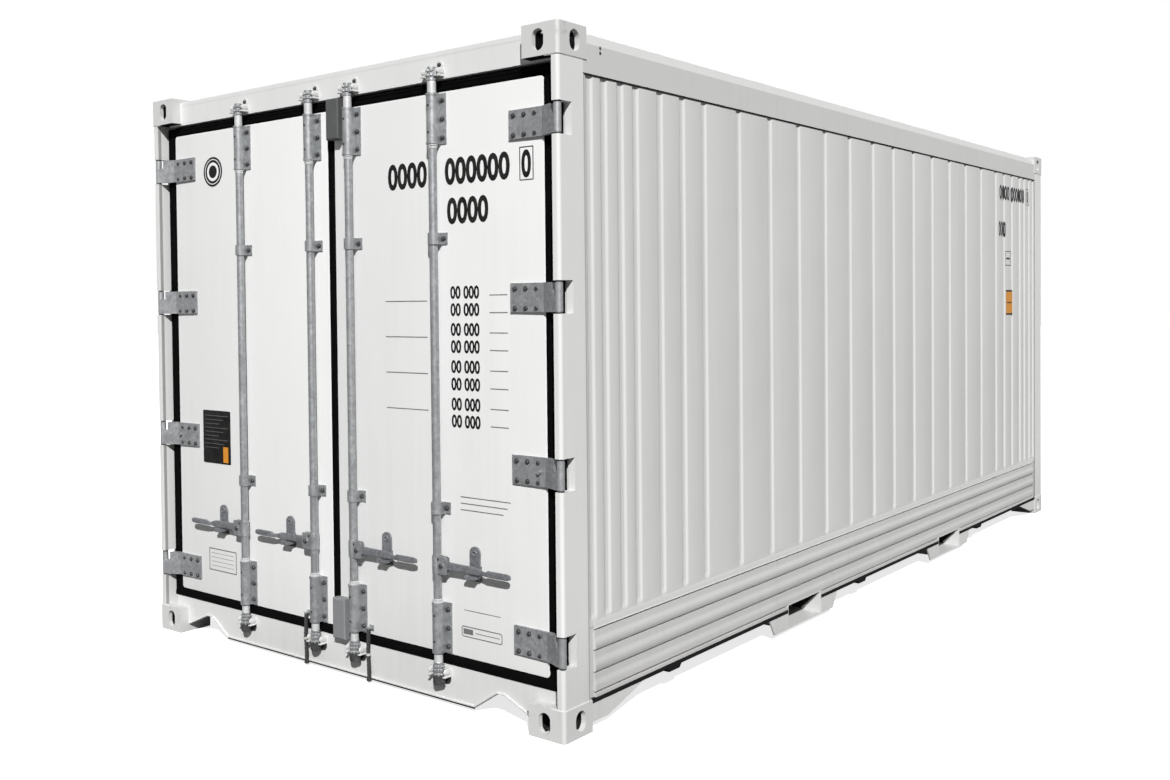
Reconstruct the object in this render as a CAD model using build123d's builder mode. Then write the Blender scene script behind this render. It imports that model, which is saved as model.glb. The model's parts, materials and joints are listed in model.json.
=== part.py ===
from build123d import *
import math
import os

# A 20 ft insulated freight container with a pair of rear doors.
# X runs across its width, Y along its length with the doors at -Y, and Z is up.
# The origin is on the ground at the middle of the plan. All sizes are in millimetres.

# Overall size
LENGTH = 6058
WIDTH = 2438
HEIGHT = 2591

# Corner fittings
FITTING_X = 162
FITTING_Y = 178
FITTING_Z = 118
FITTING_WALL = 24
FITTING_INNER_WALL = 14
FITTING_ROUND = 14
PLAN_HOLE_LONG = 124
PLAN_HOLE_WIDE = 63.5
PLAN_HOLE_IN_X = 89.5
PLAN_HOLE_IN_Y = 102.5
END_HOLE_WIDE = 51
SIDE_HOLE_WIDE = 63.5
FACE_HOLE_HIGH = 79

# Frame around the two ends
POST_SET_BACK = 3
POST_WIDE = 64
POST_DEPTH = 156
POST_ROUND = 14
POST_STRIP_WIDE = 30
POST_REBATE_DEEP = 86
FRAME_SET_BACK = 54
HEADER_HIGH = 110
HEADER_SET_DOWN = 16
HEADER_BEVEL = 16
SILL_TOP = 173
SILL_BOTTOM = 22
SILL_FOOT_IN = 297
SILL_NOTCH_IN = 185
SILL_NOTCH_WIDE = 34
SILL_NOTCH_TOP = 98
SILL_END_BOTTOM = 32
SILL_PLATE = 8

# Side walls, roof and floor
SKIN_SET_BACK = 9
RAIL_SET_BACK = 4
WALL_THICK = 76
TOP_RAIL_HIGH = 150
TOP_RAIL_SET_DOWN = 16
TOP_RAIL_BEVEL_X = 22
TOP_RAIL_BEVEL_Z = 42
KICK_TOP = 385
KICK_BOTTOM = 120
FLUTE_DEEP = 6
FLUTE_HIGH = 12
FLUTE_LEVELS = (370, 294, 210, 133)
WALL_GROOVE_WIDE = 36
WALL_GROOVE_DEEP = 5
GROOVE_HEAD_GAP = 13
GROOVE_FOOT_GAP = 20
GROOVE_END_GAP = 145.1
WIDE_BAYS = 13
NARROW_BAY = 178
NARROW_BAYS = 3
LAST_BAY = 112
LAST_BAYS = 2
ROOF_SET_DOWN = 23
ROOF_GROOVE_DEEP = 6
ROOF_GROOVE_GAP = 90
FLOOR_TOP = 192
END_WALL_THICK = 80

# Floor bars of T section
TEE_BASE = 5
TEE_WEB = 5
TEE_HEAD_WIDE = 34
TEE_HEAD_THICK = 5
TEE_HIGH = 38
TEE_PITCH = 63
TEE_END_GAP = 6

# Beams and fork pockets under the floor
BEAM_END_GAP = 64
BEAM_BOTTOM = 36
BEAM_FLANGE = 46
BEAM_WEB = 5
BEAM_PITCH = 300
POCKET_Y = 1025
POCKET_WIDTH = 360
POCKET_TOP = 138
POCKET_BOTTOM = 34
POCKET_PLATE = 6
POCKET_STRAP_LONG = 210
POCKET_GUSSET = 190
POCKET_GUSSET_FOOT = 55
HAUNCH_LONG = 368
HAUNCH_FOOT = 110
HAUNCH_PLATE = 8
HAUNCH_BOTTOM = 34
HAUNCH_TIP = 104
OUTLET_NEAR = 322
OUTLET_DOOR_SHARE = 0.7865
OUTLET_FAR_SHARE = 0.1784
OUTLET_LONG = 44
OUTLET_BOTTOM = 99
OUTLET_THICK = 30

# Doors
DOOR_SET_BACK = 59
DOOR_FRONT_THICK = 30
DOOR_REAR_THICK = 60
DOOR_TAPER = 12
DOOR_INNER_X = {-1: 32, 1: 10}
DOOR_POST_GAP = 40
DOOR_SILL_GAP = 45
DOOR_HEAD_GAP = 50
DOOR_ROUND = 14
GASKET_INNER_X = 5
GASKET_FRAME_GAP = 5
GASKET_STRIP_GAP = 5
GASKET_HEAD_GAP = 8
GASKET_SET_BACK = 4
GASKET_THICK = 20
GASKET_LIP = 7

# Hinges
PIN_IN = 17
PIN_SET_BACK = 20
PIN_RADIUS = 9
PIN_SEAT_GAP = 0.05
PIN_RUN_GAP = 0.1
PIN_TAIL = 32
HINGE_FOOT_GAP = 107.5
HINGE_HEAD_GAP = 166.5
HINGE_HIGH = 108
HINGE_GAP_Z = 6
HINGE_KNUCKLE = 14
HINGE_ON_DOOR = 156
HINGE_STEP_HIGH = 38
HINGE_STEP_WIDE = 20
HINGE_PLATE = 10
HINGE_NOTCH_DEEP = 81
STUD_RADIUS = 8
STUD_LONG = 26
STUD_IN = 26

# Locking bars, their bearings, cams and keepers
BAR_SHARES = (121 / 1112, 593 / 1112)
BAR_OFF_DOOR = 30
BAR_RADIUS = 17
BAR_BOTTOM = 88
BAR_PAST_HEADER = 47
BEARING_GAP = 0.1
BEARING_RADIUS = 23
COLLAR_RADIUS = 25
COLLAR_HIGH = 9
FLANGE_PLATE = 6
FLANGE_NEAR = 40
FLANGE_FAR = 50
BEARING_HIGH = 198
LOW_BEARING_BOTTOM = 212
BEARING_HEAD_GAP = 5
RING_HIGH = 46
RING_SHARES = (566 / 2197, 1625 / 2197)
CAM_HIGH = 30
CAM_REACH = 20
CAM_NOSE = 9
LOW_CAM_IN = 10
HIGH_CAM_IN = 38
KEEPER_INNER = 34
KEEPER_THICK = 12
KEEPER_DEEP = 41
KEEPER_HIGH = 34

# Handles and what holds them
HANDLE_LEVEL = 563
HANDLE_PIVOT = 36
HANDLE_END_GAP = 102
HANDLE_EYE = 13
HANDLE_SHOULDER = 18
HANDLE_HIGH = 34
HANDLE_TIP_HIGH = 27
HANDLE_THICK = 10
HANDLE_OFF_BAR = 11
LUG_PLATE = 5.5
LUG_SIDE_GAP = 0.5
HUB_RADIUS = 21
HUB_HIGH = 70
LUG_REACH = 60
LUG_ROUND = 9
HANDLE_PIN = 6
HANDLE_PIN_HEAD = 10
HANDLE_PIN_HEAD_HIGH = 5
KEEP_SHARE = 177 / 370
KEEP_HALF = 26
KEEP_BOTTOM = 514
KEEP_TOP = 650
KEEP_PLATE = 6
KEEP_SHELF_DEEP = 40
KEEP_SHELF_THICK = 12
KEEP_GAP = 5
KEEP_EAR_THICK = 8
KEEP_EAR_HALF = 25
SEAL_HOLE = 6

# Blocks beside the middle of the doors
BLOCK_NEAR_X = 2
BLOCK_WIDE = 74
BLOCK_DEEP = 45
BLOCK_BASE = 10
BLOCK_HIGH = 172
BLOCK_ROUND = 6
FOOT_BLOCK_BOTTOM = 168
BLOCK_HEAD_GAP = 8

# Tie ropes with their hooks, on the foot of each door
ROPE_RADIUS = 8
ROPE_OFF_DOOR = 22
LEFT_ROPE_FROM_BAR = 69
RIGHT_ROPE_FROM_BAR = 75
HOOK_LEVEL = 234
HOOK_HALF = 12
HOOK_PLATE = 4
HOOK_TONGUE = 8
HOOK_TONGUE_THICK = 5
ROPE_ROUTE = (
    (0, 0, 0),
    (0, 0, -46),
    (-3, -2, -98),
    (2, -1, -154),
    (-1, 1, -212),
)

SIDES = {"left": -1, "right": 1}
ENDS = {"rear": -1, "front": 1}
HALF_WIDTH = WIDTH / 2
HALF_LENGTH = LENGTH / 2
PLAN_HOLE_X = HALF_WIDTH - PLAN_HOLE_IN_X
PLAN_HOLE_Y = HALF_LENGTH - PLAN_HOLE_IN_Y
FITTING_INNER_X = HALF_WIDTH - FITTING_X
FITTING_INNER_Y = HALF_LENGTH - FITTING_Y
POST_FACE = HALF_LENGTH - POST_SET_BACK
POST_BACK = POST_FACE - POST_DEPTH
POST_OUTER_X = HALF_WIDTH - POST_SET_BACK
POST_INNER_X = POST_OUTER_X - POST_WIDE
POST_STRIP_X = POST_OUTER_X - POST_STRIP_WIDE
POST_LOW = FITTING_Z
POST_HIGH = HEIGHT - FITTING_Z
FRAME_FACE = HALF_LENGTH - FRAME_SET_BACK
HEADER_TOP = HEIGHT - HEADER_SET_DOWN
HEADER_BOTTOM = HEADER_TOP - HEADER_HIGH
SILL_FOOT_X = FITTING_INNER_X - SILL_FOOT_IN
SILL_NOTCH_X = FITTING_INNER_X - SILL_NOTCH_IN
SKIN_X = HALF_WIDTH - SKIN_SET_BACK
RAIL_X = HALF_WIDTH - RAIL_SET_BACK
LINER_X = SKIN_X - WALL_THICK
TOP_RAIL_TOP = HEIGHT - TOP_RAIL_SET_DOWN
TOP_RAIL_BOTTOM = TOP_RAIL_TOP - TOP_RAIL_HIGH
WALL_GROOVE_TOP = TOP_RAIL_BOTTOM - GROOVE_HEAD_GAP
WALL_GROOVE_BOTTOM = KICK_TOP + GROOVE_FOOT_GAP
END_BAYS = NARROW_BAY * NARROW_BAYS + LAST_BAY * LAST_BAYS
WIDE_BAY = 2 * (POST_BACK - GROOVE_END_GAP - END_BAYS) / WIDE_BAYS
ROOF_TOP = HEIGHT - ROOF_SET_DOWN
BEAM_HALF_LONG = LINER_X - BEAM_END_GAP
DOOR_FACE = DOOR_SET_BACK - HALF_LENGTH
DOOR_OUTER_X = POST_INNER_X - DOOR_POST_GAP
DOOR_BOTTOM = SILL_TOP + DOOR_SILL_GAP
DOOR_TOP = HEADER_BOTTOM - DOOR_HEAD_GAP
GASKET_FACE = DOOR_FACE + GASKET_SET_BACK
PIN_X = POST_OUTER_X - PIN_IN
PIN_Y = PIN_SET_BACK - HALF_LENGTH
HINGE_LOW = DOOR_BOTTOM + HINGE_FOOT_GAP
HINGE_PITCH = (DOOR_TOP - HINGE_HEAD_GAP - HINGE_LOW) / 3
HINGE_LEVELS = [HINGE_LOW + HINGE_PITCH * step for step in range(4)]
HINGE_INNER_X = DOOR_OUTER_X - HINGE_ON_DOOR
STUD_X = DOOR_OUTER_X - STUD_IN
BAR_PLACES = [DOOR_OUTER_X * share for share in BAR_SHARES]
BAR_Y = DOOR_FACE - BAR_OFF_DOOR
BAR_TOP = HEADER_BOTTOM + BAR_PAST_HEADER
LOW_CAM_BOTTOM = BAR_BOTTOM + LOW_CAM_IN
HIGH_CAM_BOTTOM = BAR_TOP - HIGH_CAM_IN
HIGH_BEARING_BOTTOM = DOOR_TOP - BEARING_HEAD_GAP - BEARING_HIGH
RING_LEVELS = [DOOR_BOTTOM + (DOOR_TOP - DOOR_BOTTOM) * share for share in RING_SHARES]
HANDLE_TIP = BAR_PLACES[1] - BAR_PLACES[0] - HANDLE_END_GAP
HANDLE_FRONT = BAR_Y - HANDLE_OFF_BAR
KEEP_X = HANDLE_TIP * KEEP_SHARE
HEAD_BLOCK_TOP = HEADER_BOTTOM - BLOCK_HEAD_GAP
ROPE_Y = DOOR_FACE - ROPE_OFF_DOOR
LEFT_ROPE_X = -BAR_PLACES[0] - LEFT_ROPE_FROM_BAR
RIGHT_ROPE_X = BAR_PLACES[0] + RIGHT_ROPE_FROM_BAR

os.makedirs("parts", exist_ok=True)


def save(piece, label):
    """Names a finished piece and writes it."""
    piece.label = label
    export_step(piece, f"parts/{label}.step")


def span(low, high, mode=Mode.ADD):
    """A block between two opposite corners, in whichever order their numbers come."""
    centre = tuple((a + b) / 2 for a, b in zip(low, high))
    with Locations(centre):
        Box(*[abs(b - a) for a, b in zip(low, high)], mode=mode)


def corner_fitting(side, end, level):
    """A hollow cast corner with a slotted hole in each of its three outer faces."""
    x = side * (HALF_WIDTH - FITTING_X / 2)
    y = end * (HALF_LENGTH - FITTING_Y / 2)
    z = FITTING_Z / 2 if level < 0 else HEIGHT - FITTING_Z / 2
    plan_z = 0 if level < 0 else HEIGHT
    hole_x = side * PLAN_HOLE_X
    hole_y = end * PLAN_HOLE_Y
    with BuildPart() as fitting:
        with Locations((x, y, z)):
            Box(FITTING_X, FITTING_Y, FITTING_Z)
        outer = fitting.edges().filter_by(Axis.Z).sort_by(lambda e: side * e.center().X + end * e.center().Y)[-1]
        fillet(outer, FITTING_ROUND)
        span(
            (side * (HALF_WIDTH - FITTING_WALL), end * (HALF_LENGTH - FITTING_WALL), z - FITTING_Z / 2 + FITTING_WALL),
            (
                side * (FITTING_INNER_X + FITTING_INNER_WALL),
                end * (FITTING_INNER_Y + FITTING_INNER_WALL),
                z + FITTING_Z / 2 - FITTING_WALL,
            ),
            mode=Mode.SUBTRACT,
        )
        with BuildSketch(Plane.XY.offset(plan_z)):
            with Locations((hole_x, hole_y)):
                SlotOverall(PLAN_HOLE_LONG, PLAN_HOLE_WIDE, rotation=90)
        extrude(amount=-level * 2 * FITTING_WALL, mode=Mode.SUBTRACT)
        with BuildSketch(Plane.XZ.offset(-end * HALF_LENGTH)):
            with Locations((hole_x, z)):
                SlotOverall(FACE_HOLE_HIGH, END_HOLE_WIDE, rotation=90)
        extrude(amount=end * 2 * FITTING_WALL, mode=Mode.SUBTRACT)
        with BuildSketch(Plane.YZ.offset(side * HALF_WIDTH)):
            with Locations((hole_y, z)):
                SlotOverall(FACE_HOLE_HIGH, SIDE_HOLE_WIDE, rotation=90)
        extrude(amount=-side * 2 * FITTING_WALL, mode=Mode.SUBTRACT)
    return fitting.part


def rear_post(side):
    """A door post with an outer strip, a rebate for the seal, and a notch and pin seat at each hinge."""
    with BuildPart() as post:
        span((side * POST_INNER_X, -POST_FACE, POST_LOW), (side * POST_OUTER_X, -POST_BACK, POST_HIGH))
        outer = post.edges().filter_by(Axis.Z).sort_by(lambda e: side * e.center().X - e.center().Y)[-1]
        fillet(outer, POST_ROUND)
        span(
            (side * POST_INNER_X, -POST_FACE, POST_LOW),
            (side * POST_STRIP_X, -POST_FACE + POST_REBATE_DEEP, POST_HIGH),
            mode=Mode.SUBTRACT,
        )
        half_notch = HINGE_HIGH / 2 + HINGE_GAP_Z
        for level in HINGE_LEVELS:
            span(
                (side * POST_INNER_X, -POST_FACE, level - half_notch),
                (side * POST_OUTER_X, -POST_FACE + HINGE_NOTCH_DEEP, level + half_notch),
                mode=Mode.SUBTRACT,
            )
            with Locations((side * PIN_X, PIN_Y, level)):
                Cylinder(PIN_RADIUS + PIN_SEAT_GAP, 2 * (half_notch + PIN_TAIL), mode=Mode.SUBTRACT)
    return post.part


def hinge_pins():
    """The eight hinge pins, each seated in its post above and below the notch."""
    with BuildPart() as pins:
        for side in SIDES.values():
            for level in HINGE_LEVELS:
                with Locations((side * PIN_X, PIN_Y, level)):
                    Cylinder(PIN_RADIUS, HINGE_HIGH + 2 * HINGE_GAP_Z + 2 * PIN_TAIL)
    return pins.part


def front_post(side):
    """A plain post of the closed end."""
    with BuildPart() as post:
        span((side * POST_INNER_X, POST_BACK, POST_LOW), (side * POST_OUTER_X, POST_FACE, POST_HIGH))
        outer = post.edges().filter_by(Axis.Z).sort_by(lambda e: side * e.center().X + e.center().Y)[-1]
        fillet(outer, POST_ROUND)
    return post.part


def header(end):
    """The beam over an end, between the fittings, with a strip below them that meets the posts."""
    with BuildPart() as beam:
        span(
            (-FITTING_INNER_X, end * FRAME_FACE, POST_HIGH),
            (FITTING_INNER_X, end * FITTING_INNER_Y, HEADER_TOP),
        )
        top_front = beam.edges().filter_by(Axis.X).sort_by(lambda e: e.center().Z + end * e.center().Y)[-1]
        chamfer(top_front, HEADER_BEVEL)
        span(
            (-POST_INNER_X, end * FRAME_FACE, HEADER_BOTTOM),
            (POST_INNER_X, end * POST_BACK, POST_HIGH),
        )
    return beam.part


def sill(end):
    """The folded sill of an end: a face plate, notched up beside each fitting, and a top flange."""
    half = [
        (0, SILL_BOTTOM),
        (SILL_FOOT_X, SILL_BOTTOM),
        (SILL_NOTCH_X, SILL_NOTCH_TOP),
        (SILL_NOTCH_X + SILL_NOTCH_WIDE, SILL_NOTCH_TOP),
        (FITTING_INNER_X, SILL_END_BOTTOM),
        (FITTING_INNER_X, FITTING_Z),
        (POST_INNER_X, FITTING_Z),
        (POST_INNER_X, SILL_TOP),
    ]
    outline = half + [(-x, z) for x, z in reversed(half[1:])]
    with BuildPart() as beam:
        with BuildSketch(Plane.XZ.offset(-end * FRAME_FACE)):
            with BuildLine():
                Polyline(*outline, close=True)
            make_face()
        extrude(amount=end * SILL_PLATE)
        span(
            (-POST_INNER_X, end * FRAME_FACE, SILL_TOP - SILL_PLATE),
            (POST_INNER_X, end * POST_BACK, SILL_TOP),
        )
    return beam.part


def top_rail(side):
    """A long roof rail with a bevelled shoulder, stepped round the upper fittings."""
    outline = [
        (LINER_X, TOP_RAIL_BOTTOM),
        (RAIL_X, TOP_RAIL_BOTTOM),
        (RAIL_X, TOP_RAIL_TOP - TOP_RAIL_BEVEL_Z),
        (RAIL_X - TOP_RAIL_BEVEL_X, TOP_RAIL_TOP),
        (LINER_X, TOP_RAIL_TOP),
    ]
    with BuildPart() as rail:
        with BuildSketch(Plane.XZ.offset(POST_BACK)):
            with BuildLine():
                Polyline(*[(side * x, z) for x, z in outline], close=True)
            make_face()
        extrude(amount=-2 * POST_BACK)
        for end in ENDS.values():
            span(
                (side * LINER_X, end * FITTING_INNER_Y, POST_HIGH),
                (side * RAIL_X, end * POST_BACK, TOP_RAIL_TOP),
                mode=Mode.SUBTRACT,
            )
    return rail.part


def kick_rail(side):
    """The fluted rail along the foot of a side, cut away over the fork pockets."""
    flutes = []
    for level in FLUTE_LEVELS:
        flutes += [
            (RAIL_X, level + FLUTE_HIGH / 2),
            (RAIL_X - FLUTE_DEEP, level + FLUTE_HIGH / 4),
            (RAIL_X - FLUTE_DEEP, level - FLUTE_HIGH / 4),
            (RAIL_X, level - FLUTE_HIGH / 2),
        ]
    outline = [(LINER_X, KICK_TOP), (RAIL_X, KICK_TOP)] + flutes + [(RAIL_X, KICK_BOTTOM), (LINER_X, KICK_BOTTOM)]
    with BuildPart() as rail:
        with BuildSketch(Plane.XZ.offset(POST_BACK)):
            with BuildLine():
                Polyline(*[(side * x, z) for x, z in outline], close=True)
            make_face()
        extrude(amount=-2 * POST_BACK)
        pocket_notches(side * LINER_X, side * RAIL_X)
    return rail.part


def pocket_notches(x_low, x_high):
    """Cuts the room that the two fork pockets take from a piece above them."""
    half = POCKET_WIDTH / 2 + POCKET_PLATE
    for end in ENDS.values():
        middle = end * POCKET_Y
        span(
            (x_low, middle - half, KICK_BOTTOM),
            (x_high, middle + half, POCKET_TOP + POCKET_PLATE),
            mode=Mode.SUBTRACT,
        )


def groove_places():
    """Places along the length of the shallow upright grooves, the same at both ends."""
    reach = WIDE_BAY * WIDE_BAYS / 2
    places = [-reach + WIDE_BAY * bay for bay in range(WIDE_BAYS + 1)]
    for pitch, bays in ((NARROW_BAY, NARROW_BAYS), (LAST_BAY, LAST_BAYS)):
        for _ in range(bays):
            reach += pitch
            places += [-reach, reach]
    return places


def side_wall(side):
    """An insulated side panel with shallow upright grooves in its outer skin."""
    with BuildPart() as wall:
        span((side * LINER_X, -POST_BACK, KICK_TOP), (side * SKIN_X, POST_BACK, TOP_RAIL_BOTTOM))
        for place in groove_places():
            with BuildSketch(Plane.XY.offset(WALL_GROOVE_BOTTOM)):
                with BuildLine():
                    Polyline(
                        (side * SKIN_X, place - WALL_GROOVE_WIDE / 2),
                        (side * (SKIN_X - WALL_GROOVE_DEEP), place - WALL_GROOVE_WIDE / 4),
                        (side * (SKIN_X - WALL_GROOVE_DEEP), place + WALL_GROOVE_WIDE / 4),
                        (side * SKIN_X, place + WALL_GROOVE_WIDE / 2),
                        close=True,
                    )
                make_face()
            extrude(amount=WALL_GROOVE_TOP - WALL_GROOVE_BOTTOM, mode=Mode.SUBTRACT)
    return wall.part


def front_wall():
    """The insulated closed end, grooved like the sides."""
    face = FRAME_FACE
    with BuildPart() as wall:
        span((-POST_INNER_X, face - END_WALL_THICK, SILL_TOP), (POST_INNER_X, face, HEADER_BOTTOM))
        for step in range(-3, 4):
            middle = step * WIDE_BAY
            with BuildSketch(Plane.XY.offset(WALL_GROOVE_BOTTOM)):
                with BuildLine():
                    Polyline(
                        (middle - WALL_GROOVE_WIDE / 2, face),
                        (middle - WALL_GROOVE_WIDE / 4, face - WALL_GROOVE_DEEP),
                        (middle + WALL_GROOVE_WIDE / 4, face - WALL_GROOVE_DEEP),
                        (middle + WALL_GROOVE_WIDE / 2, face),
                        close=True,
                    )
                make_face()
            extrude(amount=WALL_GROOVE_TOP - WALL_GROOVE_BOTTOM, mode=Mode.SUBTRACT)
    return wall.part


def roof():
    """The insulated roof panel with shallow grooves across it, in line with those of the sides."""
    with BuildPart() as panel:
        span((-LINER_X, -FITTING_INNER_Y, HEADER_BOTTOM), (LINER_X, FITTING_INNER_Y, ROOF_TOP))
        half = LINER_X - ROOF_GROOVE_GAP
        for place in groove_places()[: WIDE_BAYS + 1]:
            with BuildSketch(Plane.YZ.offset(-half)):
                with BuildLine():
                    Polyline(
                        (place - WALL_GROOVE_WIDE / 2, ROOF_TOP),
                        (place - WALL_GROOVE_WIDE / 4, ROOF_TOP - ROOF_GROOVE_DEEP),
                        (place + WALL_GROOVE_WIDE / 4, ROOF_TOP - ROOF_GROOVE_DEEP),
                        (place + WALL_GROOVE_WIDE / 2, ROOF_TOP),
                        close=True,
                    )
                make_face()
            extrude(amount=2 * half, mode=Mode.SUBTRACT)
    return panel.part


def floor_panel():
    """The insulated floor slab, notched underneath over the fork pockets."""
    with BuildPart() as slab:
        span((-LINER_X, -POST_BACK, KICK_BOTTOM), (LINER_X, POST_BACK, FLOOR_TOP))
        span((-LINER_X, POST_BACK, SILL_TOP), (LINER_X, FRAME_FACE - END_WALL_THICK, FLOOR_TOP))
        pocket_notches(-LINER_X, LINER_X)
    return slab.part


def floor_bars():
    """The aluminium floor: a base plate with long upright bars of T section."""
    count = int((2 * LINER_X - TEE_HEAD_WIDE) // TEE_PITCH)
    first = -count * TEE_PITCH / 2
    y_low = -POST_BACK + TEE_END_GAP
    y_high = FRAME_FACE - END_WALL_THICK - TEE_END_GAP
    with BuildPart() as bars:
        span((-LINER_X, y_low, FLOOR_TOP), (LINER_X, y_high, FLOOR_TOP + TEE_BASE))
        for step in range(count + 1):
            x = first + step * TEE_PITCH
            span(
                (x - TEE_WEB / 2, y_low, FLOOR_TOP + TEE_BASE),
                (x + TEE_WEB / 2, y_high, FLOOR_TOP + TEE_HIGH - TEE_HEAD_THICK),
            )
            span(
                (x - TEE_HEAD_WIDE / 2, y_low, FLOOR_TOP + TEE_HIGH - TEE_HEAD_THICK),
                (x + TEE_HEAD_WIDE / 2, y_high, FLOOR_TOP + TEE_HIGH),
            )
    return bars.part


def beam_places():
    """Places along the length of the beams, evenly spaced in each stretch between pockets and haunches."""
    pocket_near = POCKET_Y - POCKET_WIDTH / 2 - POCKET_GUSSET
    pocket_far = POCKET_Y + POCKET_WIDTH / 2 + POCKET_GUSSET
    end = FITTING_INNER_Y - HAUNCH_FOOT
    places = []
    for low, high in ((-end, -pocket_far), (-pocket_near, pocket_near), (pocket_far, end)):
        room = high - low - BEAM_FLANGE
        bays = max(1, round(room / BEAM_PITCH))
        places += [low + room * bay / bays for bay in range(bays + 1)]
    return places


def cross_beams():
    """Channel beams across the underside."""
    with BuildPart() as beams:
        for y in beam_places():
            with BuildSketch(Plane.YZ.offset(-BEAM_HALF_LONG)):
                with BuildLine():
                    Polyline(
                        (y, BEAM_BOTTOM),
                        (y + BEAM_FLANGE, BEAM_BOTTOM),
                        (y + BEAM_FLANGE, BEAM_BOTTOM + BEAM_WEB),
                        (y + BEAM_WEB, BEAM_BOTTOM + BEAM_WEB),
                        (y + BEAM_WEB, KICK_BOTTOM - BEAM_WEB),
                        (y + BEAM_FLANGE, KICK_BOTTOM - BEAM_WEB),
                        (y + BEAM_FLANGE, KICK_BOTTOM),
                        (y, KICK_BOTTOM),
                        close=True,
                    )
                make_face()
            extrude(amount=2 * BEAM_HALF_LONG)
    return beams.part


def fork_pocket(end):
    """A through pocket for lifting forks: top and side plates, end straps and side gussets."""
    middle = end * POCKET_Y
    inner = POCKET_WIDTH / 2
    outer = inner + POCKET_PLATE
    with BuildPart() as pocket:
        span((-RAIL_X, middle - outer, POCKET_TOP), (RAIL_X, middle + outer, POCKET_TOP + POCKET_PLATE))
        for way in (-1, 1):
            span(
                (-RAIL_X, middle + way * inner, POCKET_BOTTOM - POCKET_PLATE),
                (RAIL_X, middle + way * outer, POCKET_TOP),
            )
            span(
                (way * RAIL_X, middle - inner, POCKET_BOTTOM - POCKET_PLATE),
                (way * (RAIL_X - POCKET_STRAP_LONG), middle + inner, POCKET_BOTTOM),
            )
            for side in SIDES.values():
                with BuildSketch(Plane.YZ.offset(side * RAIL_X)):
                    with BuildLine():
                        Polyline(
                            (middle + way * outer, KICK_BOTTOM),
                            (middle + way * (outer + POCKET_GUSSET), KICK_BOTTOM),
                            (middle + way * (outer + POCKET_GUSSET_FOOT), POCKET_BOTTOM - POCKET_PLATE),
                            (middle + way * outer, POCKET_BOTTOM - POCKET_PLATE),
                            close=True,
                        )
                    make_face()
                extrude(amount=-side * POCKET_PLATE)
    return pocket.part


def haunches():
    """The four sloped plates under the kick rails, beside the lower fittings."""
    with BuildPart() as plates:
        for end in ENDS.values():
            for side in SIDES.values():
                with BuildSketch(Plane.YZ.offset(side * RAIL_X)):
                    with BuildLine():
                        Polyline(
                            (end * FITTING_INNER_Y, KICK_BOTTOM),
                            (end * (FITTING_INNER_Y - HAUNCH_LONG), KICK_BOTTOM),
                            (end * (FITTING_INNER_Y - HAUNCH_LONG), HAUNCH_TIP),
                            (end * (FITTING_INNER_Y - HAUNCH_FOOT), HAUNCH_BOTTOM),
                            (end * FITTING_INNER_Y, HAUNCH_BOTTOM),
                            close=True,
                        )
                    make_face()
                extrude(amount=-side * HAUNCH_PLATE)
    return plates.part


def drain_outlets():
    """Small drain outlets under both kick rails, in the stretches that pockets and haunches leave free."""
    low = POCKET_Y + POCKET_WIDTH / 2 + POCKET_PLATE + POCKET_GUSSET
    room = FITTING_INNER_Y - HAUNCH_LONG - low
    with BuildPart() as outlets:
        for side in SIDES.values():
            for place in (-low - room * OUTLET_DOOR_SHARE, -OUTLET_NEAR, low + room * OUTLET_FAR_SHARE):
                span(
                    (side * RAIL_X, place - OUTLET_LONG / 2, OUTLET_BOTTOM),
                    (side * (RAIL_X - OUTLET_THICK), place + OUTLET_LONG / 2, KICK_BOTTOM),
                )
    return outlets.part


def door_panel(side):
    """A door leaf: a square-edged front and a rear that narrows all round into the opening."""
    middle_x = side * (DOOR_INNER_X[side] + DOOR_OUTER_X) / 2
    middle_z = (DOOR_BOTTOM + DOOR_TOP) / 2
    wide = DOOR_OUTER_X - DOOR_INNER_X[side]
    high = DOOR_TOP - DOOR_BOTTOM
    with BuildPart() as panel:
        with BuildSketch(Plane.XZ.offset(-DOOR_FACE)):
            with Locations((middle_x, middle_z)):
                RectangleRounded(wide, high, DOOR_ROUND)
        extrude(amount=-DOOR_FRONT_THICK)
        with BuildSketch(Plane.XZ.offset(-DOOR_FACE - DOOR_FRONT_THICK)):
            with Locations((middle_x, middle_z)):
                RectangleRounded(wide, high, DOOR_ROUND)
        extrude(amount=-DOOR_REAR_THICK, taper=DOOR_TAPER)
    return panel.part


def door_gasket(side):
    """The black rubber seal round a door leaf, with a rounded lip."""
    outer_x = POST_STRIP_X - GASKET_STRIP_GAP
    low_z = SILL_TOP + GASKET_FRAME_GAP
    high_z = HEADER_BOTTOM - GASKET_HEAD_GAP
    with BuildPart() as gasket:
        with BuildSketch(Plane.XZ.offset(-GASKET_FACE)):
            with Locations((side * (GASKET_INNER_X + outer_x) / 2, (low_z + high_z) / 2)):
                Rectangle(outer_x - GASKET_INNER_X, high_z - low_z)
        extrude(amount=-GASKET_THICK)
        chamfer(gasket.faces().sort_by(Axis.Y)[0].edges(), GASKET_LIP)
        with BuildSketch(Plane.XZ.offset(-DOOR_FACE)):
            with Locations((side * (DOOR_INNER_X[side] + DOOR_OUTER_X) / 2, (DOOR_BOTTOM + DOOR_TOP) / 2)):
                RectangleRounded(DOOR_OUTER_X - DOOR_INNER_X[side], DOOR_TOP - DOOR_BOTTOM, DOOR_ROUND)
        extrude(amount=-DOOR_FRONT_THICK, mode=Mode.SUBTRACT)
    return gasket.part


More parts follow.
